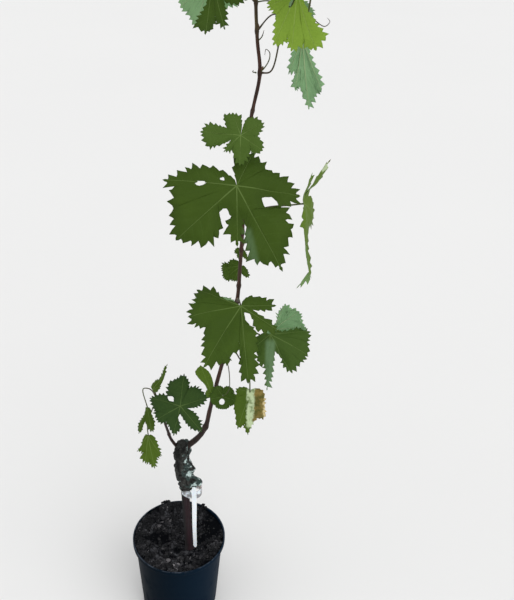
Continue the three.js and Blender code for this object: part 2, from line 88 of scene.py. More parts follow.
class Wire:
    """A socket that can stand in sums: each operator on it adds a Math node."""

    def __init__(self, tree, socket=None):
        self.tree = tree
        self.socket = socket

    def node(self, kind, values=(), out=0, **settings):
        """Adds any node: its settings, then its sockets' values or links."""
        made = self.tree.nodes.new("ShaderNode" + kind)
        for name, setting in settings.items():
            setattr(made, name, setting)
        for name, value in dict(values).items():
            if isinstance(value, Wire):
                self.tree.links.new(value.socket, made.inputs[name])
            else:
                made.inputs[name].default_value = value
        return Wire(self.tree, made.outputs[out])

    def maths(self, operation, one, two):
        return self.node("Math", {0: one, 1: two}, operation=operation)

    def __add__(self, other):
        return self.maths("ADD", self, other)

    __radd__ = __add__

    def __sub__(self, other):
        return self.maths("SUBTRACT", self, other)

    def __rsub__(self, other):
        return self.maths("SUBTRACT", other, self)

    def __mul__(self, other):
        return self.maths("MULTIPLY", self, other)

    __rmul__ = __mul__

    def step(self, low, high):
        """Goes smoothly from 0 to 1 as the value goes from low to high."""
        sockets = {"Value": self, "From Min": low, "From Max": high}
        return self.node("MapRange", sockets, interpolation_type="SMOOTHSTEP")

    def blend(self, under, over):
        """Mixes two colours with this value as the share of the second."""
        under, over = (c if isinstance(c, Wire) else (*c, 1) for c in (under, over))
        sockets = {MIX_SHARE: self, MIX_UNDER: under, MIX_OVER: over}
        return self.node("Mix", sockets, out=MIX_RESULT, data_type="RGBA")


class Finish(Wire):
    """A surface finish: the wires of one material, and the shader that they end in."""

    def __init__(self, name, **constants):
        self.material = bpy.data.materials.new(name)
        self.material.use_nodes = True
        super().__init__(self.material.node_tree)
        self.shader = next(n for n in self.tree.nodes if n.type == "BSDF_PRINCIPLED")
        for socket, value in constants.items():
            label = socket.replace("_", " ").title().replace("Ior", "IOR")
            self.shader.inputs[label].default_value = value

    def place(self):
        return self.node("TexCoord", out="Object")

    def mark(self, name):
        """The value of that name which each point of the mesh carries."""
        return self.node("Attribute", out="Fac", attribute_name=name)

    def noise(self, scale, detail, rough=0.5, stretch=None):
        at = self.place()
        if stretch:
            at = self.node("Mapping", {"Vector": at, "Scale": stretch})
        values = {"Vector": at, "Scale": scale, "Detail": detail, "Roughness": rough}
        return self.node("TexNoise", values, out="Fac")

    def colour(self, value):
        self.link("Base Color", value)

    def link(self, name, value):
        self.tree.links.new(value.socket, self.shader.inputs[name])

    def bump(self, height, depth, strength):
        values = {"Height": height, "Distance": depth, "Strength": strength}
        self.link("Normal", self.node("Bump", values))


def lay_floor():
    half = FLOOR_HALF_WIDTH
    mesh = bpy.data.meshes.new("floor")
    corners = [(-half, -half, 0), (half, -half, 0), (half, half, 0), (-half, half, 0)]
    mesh.from_pydata(corners, [], [(0, 1, 2, 3)])
    floor = bpy.data.objects.new("floor", mesh)
    bpy.context.scene.collection.objects.link(floor)
    paper = Finish("pale_paper", roughness=0.9, specular_ior_level=0.1)
    shade = paper.noise(0.7, 2.0)
    paper.colour(shade.blend((0.79, 0.79, 0.79), (0.82, 0.82, 0.82)))
    mesh.materials.append(paper.material)


def light_walls():
    world = bpy.data.worlds.new("walls")
    world.use_nodes = True
    glow = next(n for n in world.node_tree.nodes if n.type == "BACKGROUND")
    glow.inputs["Color"].default_value = (1, 1, 1, 1)
    glow.inputs["Strength"].default_value = WALL_GLOW
    bpy.context.scene.world = world


bpy.context.scene.view_settings.view_transform = "Standard"
place_camera()
light_walls()
lay_floor()
for window, light in WINDOWS.items():
    shine(window, *light)

# ---------------------------------------------------------------- pot
# A round nursery pot, injection moulded in black polypropylene. Its wall leans out to a
# turned-over collar, and its floor stands on a low foot ring and has six drain holes.

MM = 0.001
POT = {"height": 150, "rim": 75, "collar": 9, "neck": 70.5, "foot": 62, "wall": 1.6, "lip": 1.9}
POT_SIDES, POT_STRETCH = 128, 9
DRAIN = {"count": 6, "radius": 5, "ring": 47, "low": -4.0, "high": 8.0, "sides": 32}
# A capped net's caps lie on a small disc in the corner of its part of the finish map.
CAP_RADIUS, CAP_INSET = 0.01, 0.001


class Shape:
    """A mesh in the making, in millimetres. Each face's corners have a place on the finish map."""

    def __init__(self):
        self.points = []
        self.faces = []
        self.places = []
        self.slots = []
        self.marks = {}
        self.count = 0

    def add(self, points, faces, places, slot, **marks):
        """Adds points, faces by their numbers, and for each face its corners' map places."""
        points = np.asarray(points, float).reshape(-1, 3)
        self.points.append(points)
        self.faces.extend(tuple(int(i) + self.count for i in face) for face in faces)
        self.places.extend(np.asarray(places, float).reshape(-1, 2))
        self.slots.extend([slot] * len(faces))
        for name, values in marks.items():
            rows = np.broadcast_to(np.asarray(values, float), (len(points),))
            self.marks.setdefault(name, []).append((self.count, rows))
        self.count += len(points)

    def grid(self, rows, area=(0, 0, 1, 1), lying=False, slot=0, **marks):
        """Adds a net of points, rows × columns, that goes round and has a cap at both ends."""
        rows = np.asarray(rows, float)
        high, wide = rows.shape[:2]
        index = np.arange(high * wide).reshape(high, wide)
        index = np.concatenate([index, index[:, :1]], 1)
        low, span = np.array(area[:2]), np.array(area[2:]) - np.array(area[:2])
        u, v = np.meshgrid(np.linspace(0, 1, wide + 1), np.linspace(0, 1, high))
        spots = low + np.stack([v, u] if lying else [u, v], -1) * span
        corners = [(slice(None, -1), slice(None, -1)), (slice(None, -1), slice(1, None)),
                   (slice(1, None), slice(1, None)), (slice(1, None), slice(None, -1))]
        faces = np.stack([index[c] for c in corners], -1).reshape(-1, 4).tolist()
        places = np.stack([spots[c] for c in corners], 2).reshape(-1, 2).tolist()
        values = {name: np.broadcast_to(value, (high, wide)) for name, value in marks.items()}
        flat_values = {name: value.ravel() for name, value in values.items()}
        self.add(rows, faces, places, slot, **flat_values)
        angle = np.linspace(0, 2 * math.pi, wide, endpoint=False)
        disc = np.stack([1 + np.cos(angle), 1 + np.sin(angle)], -1) * CAP_RADIUS + CAP_INSET
        cap, ring = low + disc * span[0], list(range(wide))
        for row, order in ((0, -1), (-1, 1)):
            self.add(rows[row], [ring[::order]], cap[::order], slot,
                     **{name: value[row] for name, value in values.items()})

    def make(self, name, finishes, nodes, smooth=True):
        """Makes the mesh as a piece that rides with the plant and stands for those nodes."""
        mesh = bpy.data.meshes.new(name)
        mesh.from_pydata(np.concatenate(self.points) * MM, [], self.faces)
        layer = mesh.uv_layers.new(name="OFBake")
        layer.uv.foreach_set("vector", np.asarray(self.places, np.float32).ravel())
        mesh.polygons.foreach_set("material_index", np.asarray(self.slots, np.int32))
        mesh.polygons.foreach_set("use_smooth", np.full(len(self.faces), smooth))
        for mark, parts in self.marks.items():
            values = np.zeros(self.count, np.float32)
            for start, rows in parts:
                values[start:start + len(rows)] = rows
            mesh.attributes.new(mark, "FLOAT", "POINT").data.foreach_set("value", values)
        for finish in finishes:
            mesh.materials.append(finish.material)
        mesh.update()
        piece = bpy.data.objects.new(name, mesh)
        bpy.context.scene.collection.objects.link(piece)
        return keep(piece, nodes)


def keep(piece, nodes):
    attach(piece, "root")
    if nodes:
        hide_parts(*nodes)
    return piece


def rounded(profile, steps=4):
    """Rounds the corners of an outline: each is x, y and the length that its rounding takes."""
    spots = np.array([corner[:2] for corner in profile], float)
    outline = []
    for index, (x, y, cut) in enumerate(profile):
        here = np.array([x, y], float)
        if not cut:
            outline.append(here)
            continue
        before, after = spots[index - 1] - here, spots[(index + 1) % len(spots)] - here
        start = here + cut * before / np.linalg.norm(before)
        end = here + cut * after / np.linalg.norm(after)
        for t in np.linspace(0, 1, steps + 1):
            outline.append((1 - t) ** 2 * start + 2 * t * (1 - t) * here + t ** 2 * end)
    return np.array(outline)


def divided(outline, longest):
    """Adds points along an outline so that no stretch is longer than that."""
    points = [outline[0]]
    for start, end in zip(outline[:-1], outline[1:]):
        count = max(1, math.ceil(np.linalg.norm(end - start) / longest))
        points.extend(start + (end - start) * step / count for step in range(1, count + 1))
    return np.array(points)


def turned(outline, sides):
    """A turned shape's rings, from radius and height."""
    angle = np.linspace(0, 2 * math.pi, sides, endpoint=False)
    radius, height = outline[:, :1], outline[:, 1:]
    return np.stack([radius * np.cos(angle), radius * np.sin(angle), height + 0 * angle], -1)


def pot_plastic():
    plastic = Finish("black_plastic", roughness=0.5, specular_ior_level=0.01)
    height = plastic.node("SeparateXYZ", {"Vector": plastic.place()}, out="Z")
    dust = plastic.noise(38, 5.0, 0.65).step(0.5, 0.78)
    near_rim = height.step(0.118, 0.15)
    scuffs = plastic.noise(60, 4.0, 0.7, stretch=(1, 1, 0.12)).step(0.6, 0.8)
    # Painted light: the navy gets lighter towards the right side, with a little random variation.
    light_from_right = plastic.node("SeparateXYZ", {"Vector": plastic.place()}, out="X").step(-0.05, 0.07)
    navy = light_from_right * 0.8 + plastic.noise(9, 2.0) * 0.2
    navy = navy.blend((0.0012, 0.0045, 0.0085), (0.0034, 0.0125, 0.0265))
    dust_and_rim_highlight = (dust * (near_rim * 0.1 + 0.01)).blend(navy, (0.1, 0.085, 0.075))
    # Painted highlight: a thin, patchy lighter line along the top edge of the rim, laid over the
    # dust.
    painted_rim_highlight = plastic.noise(70, 3.0, 0.6).step(0.35, 0.6) * height.step(0.1486, 0.1496)
    dust_and_rim_highlight = (painted_rim_highlight * 0.6).blend(dust_and_rim_highlight, (0.07, 0.085, 0.11))
    plastic.colour((scuffs * 0.08).blend(dust_and_rim_highlight, (0.04, 0.06, 0.085)))
    plastic.link("Roughness", dust * 0.25 + scuffs * 0.1 + 0.4)
    plastic.bump(plastic.noise(900, 2.0) * 0.6 + plastic.noise(90, 3.0), 0.0002, 0.4)
    return plastic


def make_pot():
    neck, foot, wall, top = POT["neck"], POT["foot"], POT["wall"], POT["height"]
    under = top - POT["collar"]
    lip = POT["rim"] - POT["lip"]
    profile = [
        (1, 1.2, 0),
        (50, 1.2, 1),
        (52, 0, 0.8),
        (foot - 1.5, 0, 1.6),
        (foot + 0.4, 5, 2),
        (neck, under, 0.8),
        (POT["rim"], under + 1.2, 0.9),
        (POT["rim"], top, 0.9),
        (lip, top, 0.8),
        (lip, under + 2.6, 0.8),
        (neck - wall, under + 1.2, 0.6),
        (foot - wall, 2.8, 2),
        (1, 2.6, 0),
    ]
    shape = Shape()
    shape.grid(turned(divided(rounded(profile), POT_STRETCH), POT_SIDES))
    pot = shape.make("nursery_pot", [pot_plastic()], ["pot"])
    ends = np.array([[DRAIN["radius"], DRAIN["low"]], [DRAIN["radius"], DRAIN["high"]]])
    for hole in range(DRAIN["count"]):
        angle = (hole + 0.5) / DRAIN["count"] * 2 * math.pi
        way = np.array([math.cos(angle), math.sin(angle), 0])
        drill = Shape()
        drill.grid(turned(ends, DRAIN["sides"]) + way * DRAIN["ring"])
        cut_through(pot, drill)


def cut_through(piece, drill):
    """Cuts a hole of the drill's shape through a piece."""
    mesh = bpy.data.meshes.new("drill")
    mesh.from_pydata(np.concatenate(drill.points) * MM, [], drill.faces)
    tool = bpy.data.objects.new("drill", mesh)
    bpy.context.scene.collection.objects.link(tool)
    cut = piece.modifiers.new("cut", "BOOLEAN")
    cut.operation = "DIFFERENCE"
    cut.solver = "EXACT"
    cut.object = tool
    bpy.context.view_layer.update()
    graph = bpy.context.evaluated_depsgraph_get()
    result = bpy.data.meshes.new_from_object(piece.evaluated_get(graph))
    piece.modifiers.remove(cut)
    piece.data = result
    bpy.data.objects.remove(tool)


make_pot()

# ---------------------------------------------------------------- compost
# Moist peat-and-bark compost, filled to just under the collar: one lumpy body with loose
# crumbs, brown bark chips and a few grey grains lying on it, heaped a little by the wall.

SOIL_TOP = 142
TRUNK_X, TRUNK_Y = 19, -15
SOIL_RINGS, SOIL_SIDES = 104, 240
SOIL_EDGE = {"radius": 69, "height": 144.4}
HEAP = {"x": -28, "y": 56, "tall": 5, "spread": 150}
BANK = {"tall": 6.0, "from": 30, "to": 66}
# The places painted with shade: x, y, half width and half depth. The clumps on the rim: x, y, z
# and size.
SHADED_PLACES = [(-40, -3, 23, 17), (48, 22, 20, 27)]
ON_RIM = [(-31, 68.5, 150.5, 5.6), (-25, 69.5, 150, 4.2), (-37, 65.5, 150.5, 3.6),
          (33, 65.5, 150.5, 4.4), (39, 61.5, 149.5, 3.2)]
# Loose bits lie out to the wall, more of them in a ring beside it, and keep clear of the trunk
# and of the label's foot, which is x, y, half width and half depth.
BITS = {"reach": 70.5, "ring": (60, 71), "wall": 72.5, "from_trunk": 10.5}
LABEL_FOOT = (29, -29, 6, 2.5)
BITS_ACROSS_MAP = 40


def lumps(points, seed=0):
    """Smooth chance values from -1 to 1 at an array of places, one lump to each unit."""
    points = np.asarray(points, float)
    cell = np.floor(points).astype(np.int64)
    part = points - cell
    part = part * part * (3 - 2 * part)
    total = np.zeros(points.shape[:-1])
    for corner in range(8):
        step = np.array([corner & 1, corner >> 1 & 1, corner >> 2 & 1])
        at = cell + step
        code = at[..., 0] * 73856093 ^ at[..., 1] * 19349663 ^ at[..., 2] * 83492791
        code = code ^ (seed * 7919 + 17)
        code = (code & 0xFFFFFFF) * 668265261 & 0xFFFFFFF
        code = (code ^ code >> 13) * 374761393 & 0xFFFFFFF
        weight = np.prod(np.where(step, part, 1 - part), -1)
        total += ((code >> 12 & 0xFFFF) / 32767.5 - 1) * weight
    return total


def rough(points, size, seed, octaves=3):
    """Chance relief of several sizes, the largest lumps that many millimetres wide."""
    points = np.asarray(points, float) / size
    return sum(0.5 ** k * lumps(points * 2 ** k, seed + k) for k in range(octaves))


def smooth(low, high, value):
    share = np.clip((value - low) / (high - low), 0, 1)
    return share * share * (3 - 2 * share)


def soil_height(x, y):
    """The compost's height: a bank by the wall, a heap, and lumps that fade out by the trunk."""
    away, out_by = np.hypot(x - TRUNK_X, y - TRUNK_Y), np.hypot(x, y)
    flat = np.stack([x, y, 0 * x], -1)
    out = np.clip((away - 9) / 14, 0, 1) * (0.25 + 0.75 * smooth(73, 62, out_by))
    off = (x - HEAP["x"]) ** 2 + (y - HEAP["y"]) ** 2
    heap = HEAP["tall"] * np.exp(-off / HEAP["spread"])
    low_right = 1 - 0.6 * smooth(0.1, 0.9, x / 70)
    bank = BANK["tall"] * smooth(BANK["from"], BANK["to"], out_by) * low_right
    height = SOIL_TOP + bank + out * (2.4 * rough(flat, 22, 3) + 2.6 * rough(flat, 8, 8)) + heap
    return np.where(out_by > SOIL_EDGE["radius"], np.maximum(height, SOIL_EDGE["height"]), height)


def wetness(x, y):
    """How dark the compost is painted: painted shade in two places, and darker patches here and
    there.
    """
    flat = np.stack([x, y, 0 * x], -1)
    low = sum(np.exp(-((x - at_x) / wide) ** 2 - ((y - at_y) / deep) ** 2)
              for at_x, at_y, wide, deep in SHADED_PLACES)
    return smooth(0.0, 0.6, 0.55 * rough(flat, 26, 61, 2) + 0.9 * low)


def compost_finish():
    peat = Finish("moist_peat", roughness=0.9, specular_ior_level=0.05)
    mix = peat.noise(120, 6.0, 0.7).step(0.44, 0.62)
    # dry is the share outside the painted shade and the darker patches, where the compost is
    # painted dark.
    dry = 1 - peat.mark("wet")
    flecks = peat.noise(420, 3.0, 0.6).step(0.6, 0.72)
    ground = (mix * dry).blend((0.0018, 0.0022, 0.0032), (0.054, 0.055, 0.061))
    peat.colour((flecks * dry * 0.7).blend(ground, (0.105, 0.105, 0.115)))
    peat.bump(peat.noise(700, 5.0, 0.7), 0.0007, 0.8)
    return peat


def make_compost():
    shape = Shape()
    inner = POT["neck"] - POT["wall"] - 0.5
    low = POT["foot"] - POT["wall"] - 0.5
    radii = np.linspace(POT["rim"] - 2.5, 0.6, SOIL_RINGS)
    angle = np.linspace(0, 2 * math.pi, SOIL_SIDES, endpoint=False)
    x, y = radii[:, None] * np.cos(angle), radii[:, None] * np.sin(angle)
    top = np.stack([x, y, soil_height(x, y)], -1)
    wall = [(low, 3), (low + 3, 50), (inner - 2.5, 100), (inner - 0.6, 136), (inner - 0.4, 142.7)]
    rows = np.concatenate([turned(np.array(wall, float), SOIL_SIDES), top])
    shape.grid(rows, wet=wetness(rows[..., 0], rows[..., 1]))
    shape.make("compost", [compost_finish()], ["soil"])


def crumb(random, size, flat):
    """One broken bit: a rough ball of rings, pressed flat and turned at random."""
    rings, sides = 5, 7
    tilt = np.linspace(0.28, math.pi - 0.28, rings)[:, None]
    angle = np.linspace(0, 2 * math.pi, sides, endpoint=False)
    ball = np.stack([np.sin(tilt) * np.cos(angle), np.sin(tilt) * np.sin(angle),
                     -np.cos(tilt) + 0 * angle], -1)
    ball = ball * (1 + 0.5 * lumps(ball * 2.1 + random.uniform(0, 50, 3)))[..., None]
    ball = ball * np.array([1, random.uniform(0.35, 1), flat]) * size
    turn = Matrix.Rotation(random.uniform(0, 2 * math.pi), 3, "Z")
    tip = Matrix.Rotation(random.normal(0, 0.45), 3, "X")
    return ball @ np.array(turn @ tip).T


def scatter(name, finish, seed, count, smallest, largest, flat, rim_share, extra=()):
    """Loose bits of one kind, resting on the compost and nowhere in the trunk or the label."""
    random = np.random.default_rng(seed)
    shape = Shape()
    bits = []
    while len(bits) < count:
        radius = BITS["reach"] * math.sqrt(random.uniform(0, 1))
        if random.uniform() < rim_share:
            radius = random.uniform(*BITS["ring"])
        angle = random.uniform(0, 2 * math.pi)
        size = smallest + (largest - smallest) * random.uniform() ** 2.4
        x, y = radius * math.cos(angle), radius * math.sin(angle)
        by_wall = radius + size > BITS["wall"]
        by_trunk = math.hypot(x - TRUNK_X, y - TRUNK_Y) < BITS["from_trunk"] + size
        foot_x, foot_y, wide, deep = LABEL_FOOT
        by_label = abs(x - foot_x) < wide + size and abs(y - foot_y) < deep + size
        # Fewer bits lie where the compost is painted dark.
        darkened_here = float(wetness(np.array(x), np.array(y)))
        chance = 0.6 * float(lumps(np.array([x / 15, y / 15, seed]))) + 0.6 - 0.5 * darkened_here
        sparse = chance < random.uniform()
        if sparse or by_wall or by_trunk or by_label:
            continue
        height = float(soil_height(np.array(x), np.array(y)))
        bits.append((x, y, height + size * flat * random.uniform(-0.2, 0.65), size))
    for placed, (x, y, z, size) in enumerate([*bits, *extra]):
        cell = 1 / BITS_ACROSS_MAP
        left = placed % BITS_ACROSS_MAP * cell
        low = placed // BITS_ACROSS_MAP % BITS_ACROSS_MAP * cell
        # dry is the share outside the painted shade and the darker patches; bits in them are
        # painted darker.
        dry = 1 - float(wetness(np.array(x), np.array(y)))
        dry *= 0.2 + 0.8 * float(smooth(-0.25, 0.3, lumps(np.array([x / 8, y / 8, 5.5]))))
        shape.grid(crumb(random, size, flat) + np.array([x, y, z]),
                   area=(left, low, left + cell * 0.9, low + cell * 0.9),
                   shade=random.uniform() * dry * (1.1 - 0.6 * size / largest))
    shape.make(name, [finish], (), smooth=False)


def bits_finish(name, dark, light):
    bits = Finish(name, roughness=0.85, specular_ior_level=0.2)
    tone = bits.mark("shade")
    tone = tone * tone
    grain = bits.noise(500, 4.0, 0.6)
    bits.colour((grain * 0.3 + tone - 0.12).blend(dark, light))
    bits.bump(grain, 0.0004, 0.6)
    return bits


make_compost()
scatter("peat_crumbs", bits_finish("dark_peat", (0.0018, 0.0022, 0.0032), (0.125, 0.124, 0.136)),
        11, 1500, 0.8, 4.2, 0.75, 0.25, ON_RIM)
scatter("bark_chips", bits_finish("brown_bark_bits", (0.004, 0.0045, 0.006), (0.42, 0.4, 0.42)),
        12, 560, 0.9, 4.0, 0.42, 0.15)
scatter("grey_grains", bits_finish("grey_grit", (0.02, 0.021, 0.023), (0.16, 0.16, 0.17)),
        13, 170, 0.5, 1.4, 0.8, 0.1)

# ---------------------------------------------------------------- trunk
# The rootstock is a stripped cane with a flared foot. The swollen graft on top of it is callus
# and dead bark, with a large knot on its right and patches of blue-green grafting wax.

# The trunk's heights, the x of its middle at each, and its radius there.
TRUNK = [
    (SOIL_TOP, TRUNK_X, 9.5),
    (149, 18.5, 7.4),
    (168, 17, 6.4),
    (210, 15, 5.9),
    (252, 13, 5.7),
    (273, 13, 6.2),
    (275, 14, 10),
    (286, 14.5, 11.8),
    (302, 12, 13),
    (320, 9.5, 12.2),
    (338, 8, 11.8),
    (354, 8.5, 12.6),
    (363, 9.5, 11.2),
    (368, 10.5, 7),
]
TRUNK_SIDES, TRUNK_STEP = 96, 0.65
# Knobs and painted highlights on the wax: angle, height, half width in radians, half height and
# reach.
KNOBS = [(0, 289, 0.46, 7.5, 13.5), (-0.2, 316, 0.42, 7, 6.5), (2.4, 346, 0.5, 5, 2.5),
         (3.5, 300, 0.45, 6, 2)]
GLINTS = [(-0.94, 338, 0.3, 3.2, 1), (-0.72, 311, 0.32, 6, 1), (-0.5, 287, 0.25, 3, 1)]


def humps(angle, height, table):
    """How far the table's humps stand out at an array of places on the trunk."""
    total = 0
    for at_angle, at_height, width, tall, reach in table:
        off = (angle - at_angle + math.pi) % (2 * math.pi) - math.pi
        far = (off / width) ** 2 + ((height - at_height) / tall) ** 2
        total = total + reach * np.exp(-far ** 1.25)
    return total


def bark_finish():
    bark = Finish("bark", specular_ior_level=0.22)
    graft = bark.mark("graft")
    wax = bark.mark("wax")
    hollow = bark.mark("hollow")
    fibre = bark.noise(260, 4.0, 0.6, stretch=(1, 1, 0.09))
    mottle = bark.noise(150, 5.0, 0.7)
    # Its right side is painted lighter and redder: partly painted light from the right, partly its
    # own red tone.
    # The bare cane's colours are kept very dark: painted shade, as the trunk stands in shade under
    # the leaves.
    lit_reddish_side = (bark.mark("side") + mottle * 0.5 - 0.25).step(0.25, 0.85)
    cane = lit_reddish_side.blend((0.009, 0.009, 0.0095), (0.022, 0.0085, 0.012))
    cane = (fibre.step(0.35, 0.75) * 0.6).blend(cane, (0.027, 0.025, 0.027))
    dead = mottle.step(0.32, 0.8).blend((0.006, 0.0065, 0.006), (0.06, 0.062, 0.056))
    dead = (hollow * 0.85).blend(dead, (0.003, 0.003, 0.003))
    wood = graft.blend(cane, dead)
    # White highlights are painted on the wax, most of all at the glint spots.
    painted_glints = (bark.noise(150, 4.0, 0.6) + bark.mark("glint") * 0.3).step(0.54, 0.68)
    wax_with_painted_glints = painted_glints.blend((0.022, 0.04, 0.036), (0.5, 0.62, 0.6))
    bark.colour(wax.blend(wood, wax_with_painted_glints))
    bark.link("Roughness", 0.85 - wax * 0.6)
    bark.bump(fibre * (1 - graft) + mottle * graft, 0.0012, 0.7)
    return bark


def make_trunk():
    table = np.array(TRUNK, float)
    levels = np.arange(SOIL_TOP - 1.5, TRUNK[-1][0] + 0.01, TRUNK_STEP)
    blur = np.hanning(11) / np.hanning(11).sum()

    def along(column):
        values = np.pad(np.interp(levels, table[:, 0], table[:, column]), 5, mode="edge")
        return np.convolve(values, blur, "valid")

    angle = np.linspace(0, 2 * math.pi, TRUNK_SIDES, endpoint=False)[None, :]
    height = levels[:, None]
    middle, radius = along(1)[:, None], along(2)[:, None]
    graft = smooth(269, 277, height) + 0 * angle
    round_place = np.stack([radius * np.cos(angle), radius * np.sin(angle),
                            height + 0 * angle], -1)
    stretched = round_place * np.array([1, 1, 0.12])
    fibres = 0.3 * rough(stretched, 3.0, 21) - 0.5 * smooth(0.35, 0.7, rough(stretched, 2.2, 27))
    swelling = 0.5 * rough(round_place, 26, 24)
    lumpy = rough(round_place, 10, 31, 2)
    flakes = rough(round_place * np.array([1, 1, 0.55]), 3.4, 37, 3)
    crack = smooth(0.02, 0.3, np.abs(rough(round_place * np.array([1, 1, 0.45]), 6.5, 43, 2)))
    callus = 2.1 * lumpy + 0.9 * flakes - 1.5 * (1 - crack)
    relief = (1 - graft) * (fibres + swelling) + graft * callus
    reach = radius + humps(angle, height, KNOBS) + relief * np.minimum(1, radius / 6)
    foot = 1 - smooth(SOIL_TOP, SOIL_TOP + 12, height)
    reach = reach + foot * (0.9 * np.cos(3 * angle + 0.6) + 0.6 * np.cos(5 * angle))
    rows = np.stack([middle + reach * np.cos(angle), TRUNK_Y + reach * np.sin(angle),
                     height + 0 * angle], -1)
    damp = rough(round_place, 8, 51, 3)
    # right: the share that faces right, where wax lies and the cane is painted lit and redder.
    right = 0.5 + 0.5 * np.cos(angle + 0.35)
    wax = graft * smooth(0.25, 0.5, damp + 0.7 * right - 0.55 + 0.3 * smooth(335, 285, height))
    shape = Shape()
    # Where white highlights are painted on the wax.
    glint = humps(angle, height, GLINTS)
    shape.grid(rows, graft=graft, wax=np.maximum(wax, glint), glint=glint,
               hollow=graft * (1 - crack), side=right + 0 * height)
    shape.make("rootstock_and_graft", [bark_finish()], ["trunk"])


make_trunk()

# ---------------------------------------------------------------- canes
# The main shoot and the short side shoot: this season's canes, ripening from reddish brown at
# the graft to green at the tip, finely ribbed, and swollen at each node with a bud beside it.


class Limb:
    """A smooth line through stations, each x, y, z and radius."""

    def __init__(self, stations):
        stations = np.array(stations, float)
        self.line, self.radii = stations[:, :3], stations[:, 3]

    def point(self, t):
        """The line's points at an array of parameters from 0 to 1."""
        t = np.atleast_1d(np.asarray(t, float))
        last = len(self.line) - 1
        index = np.minimum((t * last).astype(int), last - 1)
        share = (t * last - index)[:, None]
        ends = np.concatenate([[2 * self.line[0] - self.line[1]], self.line,
                               [2 * self.line[-1] - self.line[-2]]])
        before, start, end, after = (ends[index + k] for k in range(4))
        gaps = [np.linalg.norm(b - a, axis=1)[:, None] ** 0.5
                for a, b in ((before, start), (start, end), (end, after))]
        run = (end - start) / gaps[1]
        lead = (start - before) / gaps[0] - (end - before) / (gaps[0] + gaps[1]) + run
        tail = run - (after - start) / (gaps[1] + gaps[2]) + (after - end) / gaps[2]
        lead, tail = lead * gaps[1], tail * gaps[1]
        cubic, square = 2 * start - 2 * end + lead + tail, 3 * end - 3 * start - 2 * lead - tail
        return ((cubic * share + square) * share + lead) * share + start

    def radius(self, t):
        stations = np.arange(len(self.radii))
        return np.interp(np.asarray(t) * stations[-1], stations, self.radii)

    def at_height(self, height):
        low, high = 0.0, 1.0
        for _ in range(30):
            middle = (low + high) / 2
            low, high = (middle, high) if self.point(middle)[0, 2] < height else (low, middle)
        return low


def tube(points, radii, sides, ripple=None):
    """Rings round a line of points, carried along it without a twist."""
    points = np.asarray(points, float)
    ways = np.gradient(points, axis=0)
    ways /= np.linalg.norm(ways, axis=1)[:, None]
    across = np.cross([0.0, 1.0, 0.0], ways[0])
    across /= np.linalg.norm(across)
    angle = np.linspace(0, 2 * math.pi, sides, endpoint=False)
    rings = []
    for index, (place, way) in enumerate(zip(points, ways)):
        across = across - way * across.dot(way)
        across /= np.linalg.norm(across)
        other = np.cross(way, across)
        reach = np.broadcast_to(radii[index], (sides,))
        if ripple is not None:
            reach = reach * (1 + ripple[index])
        rings.append(place + (reach * np.cos(angle))[:, None] * across
                     + (reach * np.sin(angle))[:, None] * other)
    return np.array(rings)


shoot = Limb([
    (12, -15, 356, 4.6), (30, -15, 375, 4.1), (42, -14, 396, 3.6), (49, -12, 432, 3.1),
    (59, -12, 484, 2.8), (73, -12, 556, 2.6), (82, -12, 612, 2.5), (84.5, -12, 668, 2.4),
    (86, -12, 730, 2.3), (86, -12, 790, 2.2), (87, -12, 835, 2.1), (93, -12, 873, 2),
    (98.5, -12, 910, 2), (94, -12, 948, 1.9), (91, -12, 990, 1.8), (93, -9, 1030, 1.7),
    (98, -5, 1070, 1.6), (97, -2, 1110, 1.4), (92, 0, 1150, 1.2), (92, 3, 1182, 0.9),
    (96, 6, 1212, 0.6),
])
side_shoot = Limb([
    (6, -15, 350, 2.6), (-6, -19, 373, 2.2), (-10, -33, 405, 1.9), (-13, -42, 430, 1.7),
    (-16, -46, 452, 1.5), (-20, -49, 470, 1.3), (-23, -52, 488, 1),
])
# The heights where the canes swell.
SHOOT_NODES = [398, 450, 528, 545, 560, 614, 638, 690, 715, 735, 775, 826, 868, 911, 955, 984,
               1012, 1026, 1046, 1066, 1078, 1100, 1134, 1150, 1170, 1190]
SIDE_NODES = [392, 432, 448, 462, 478]
SHOOT_LENGTHS = 4
CANE_SIDES, CANE_RING_GAP = 24, 1.6


def cane_finish():
    cane = Finish("ripening_cane", roughness=0.5, specular_ior_level=0.2)
    height = cane.node("SeparateXYZ", {"Vector": cane.place()}, out="Z")
    streak = cane.noise(420, 3.0, 0.6, stretch=(1, 1, 0.06))
    patch = cane.noise(28, 3.0)
    brown = streak.step(0.3, 0.72).blend((0.016, 0.006, 0.005), (0.075, 0.032, 0.022))
    brown = (patch.step(0.5, 0.75) * 0.45).blend(brown, (0.08, 0.052, 0.035))
    young = streak.step(0.3, 0.7).blend((0.07, 0.075, 0.02), (0.16, 0.15, 0.05))
    green = (height + patch * 0.12).step(0.98, 1.14)
    woody = 1 - (height + patch * 0.05).step(0.41, 0.48)
    ripe = (woody * 0.7).blend(green.blend(brown, young), (0.008, 0.0065, 0.0055))
    cane.colour((cane.mark("joint") * 0.6).blend(ripe, (0.022, 0.012, 0.009)))
    cane.bump(streak + cane.noise(900, 2.0) * 0.3, 0.0005, 0.6)
    return cane


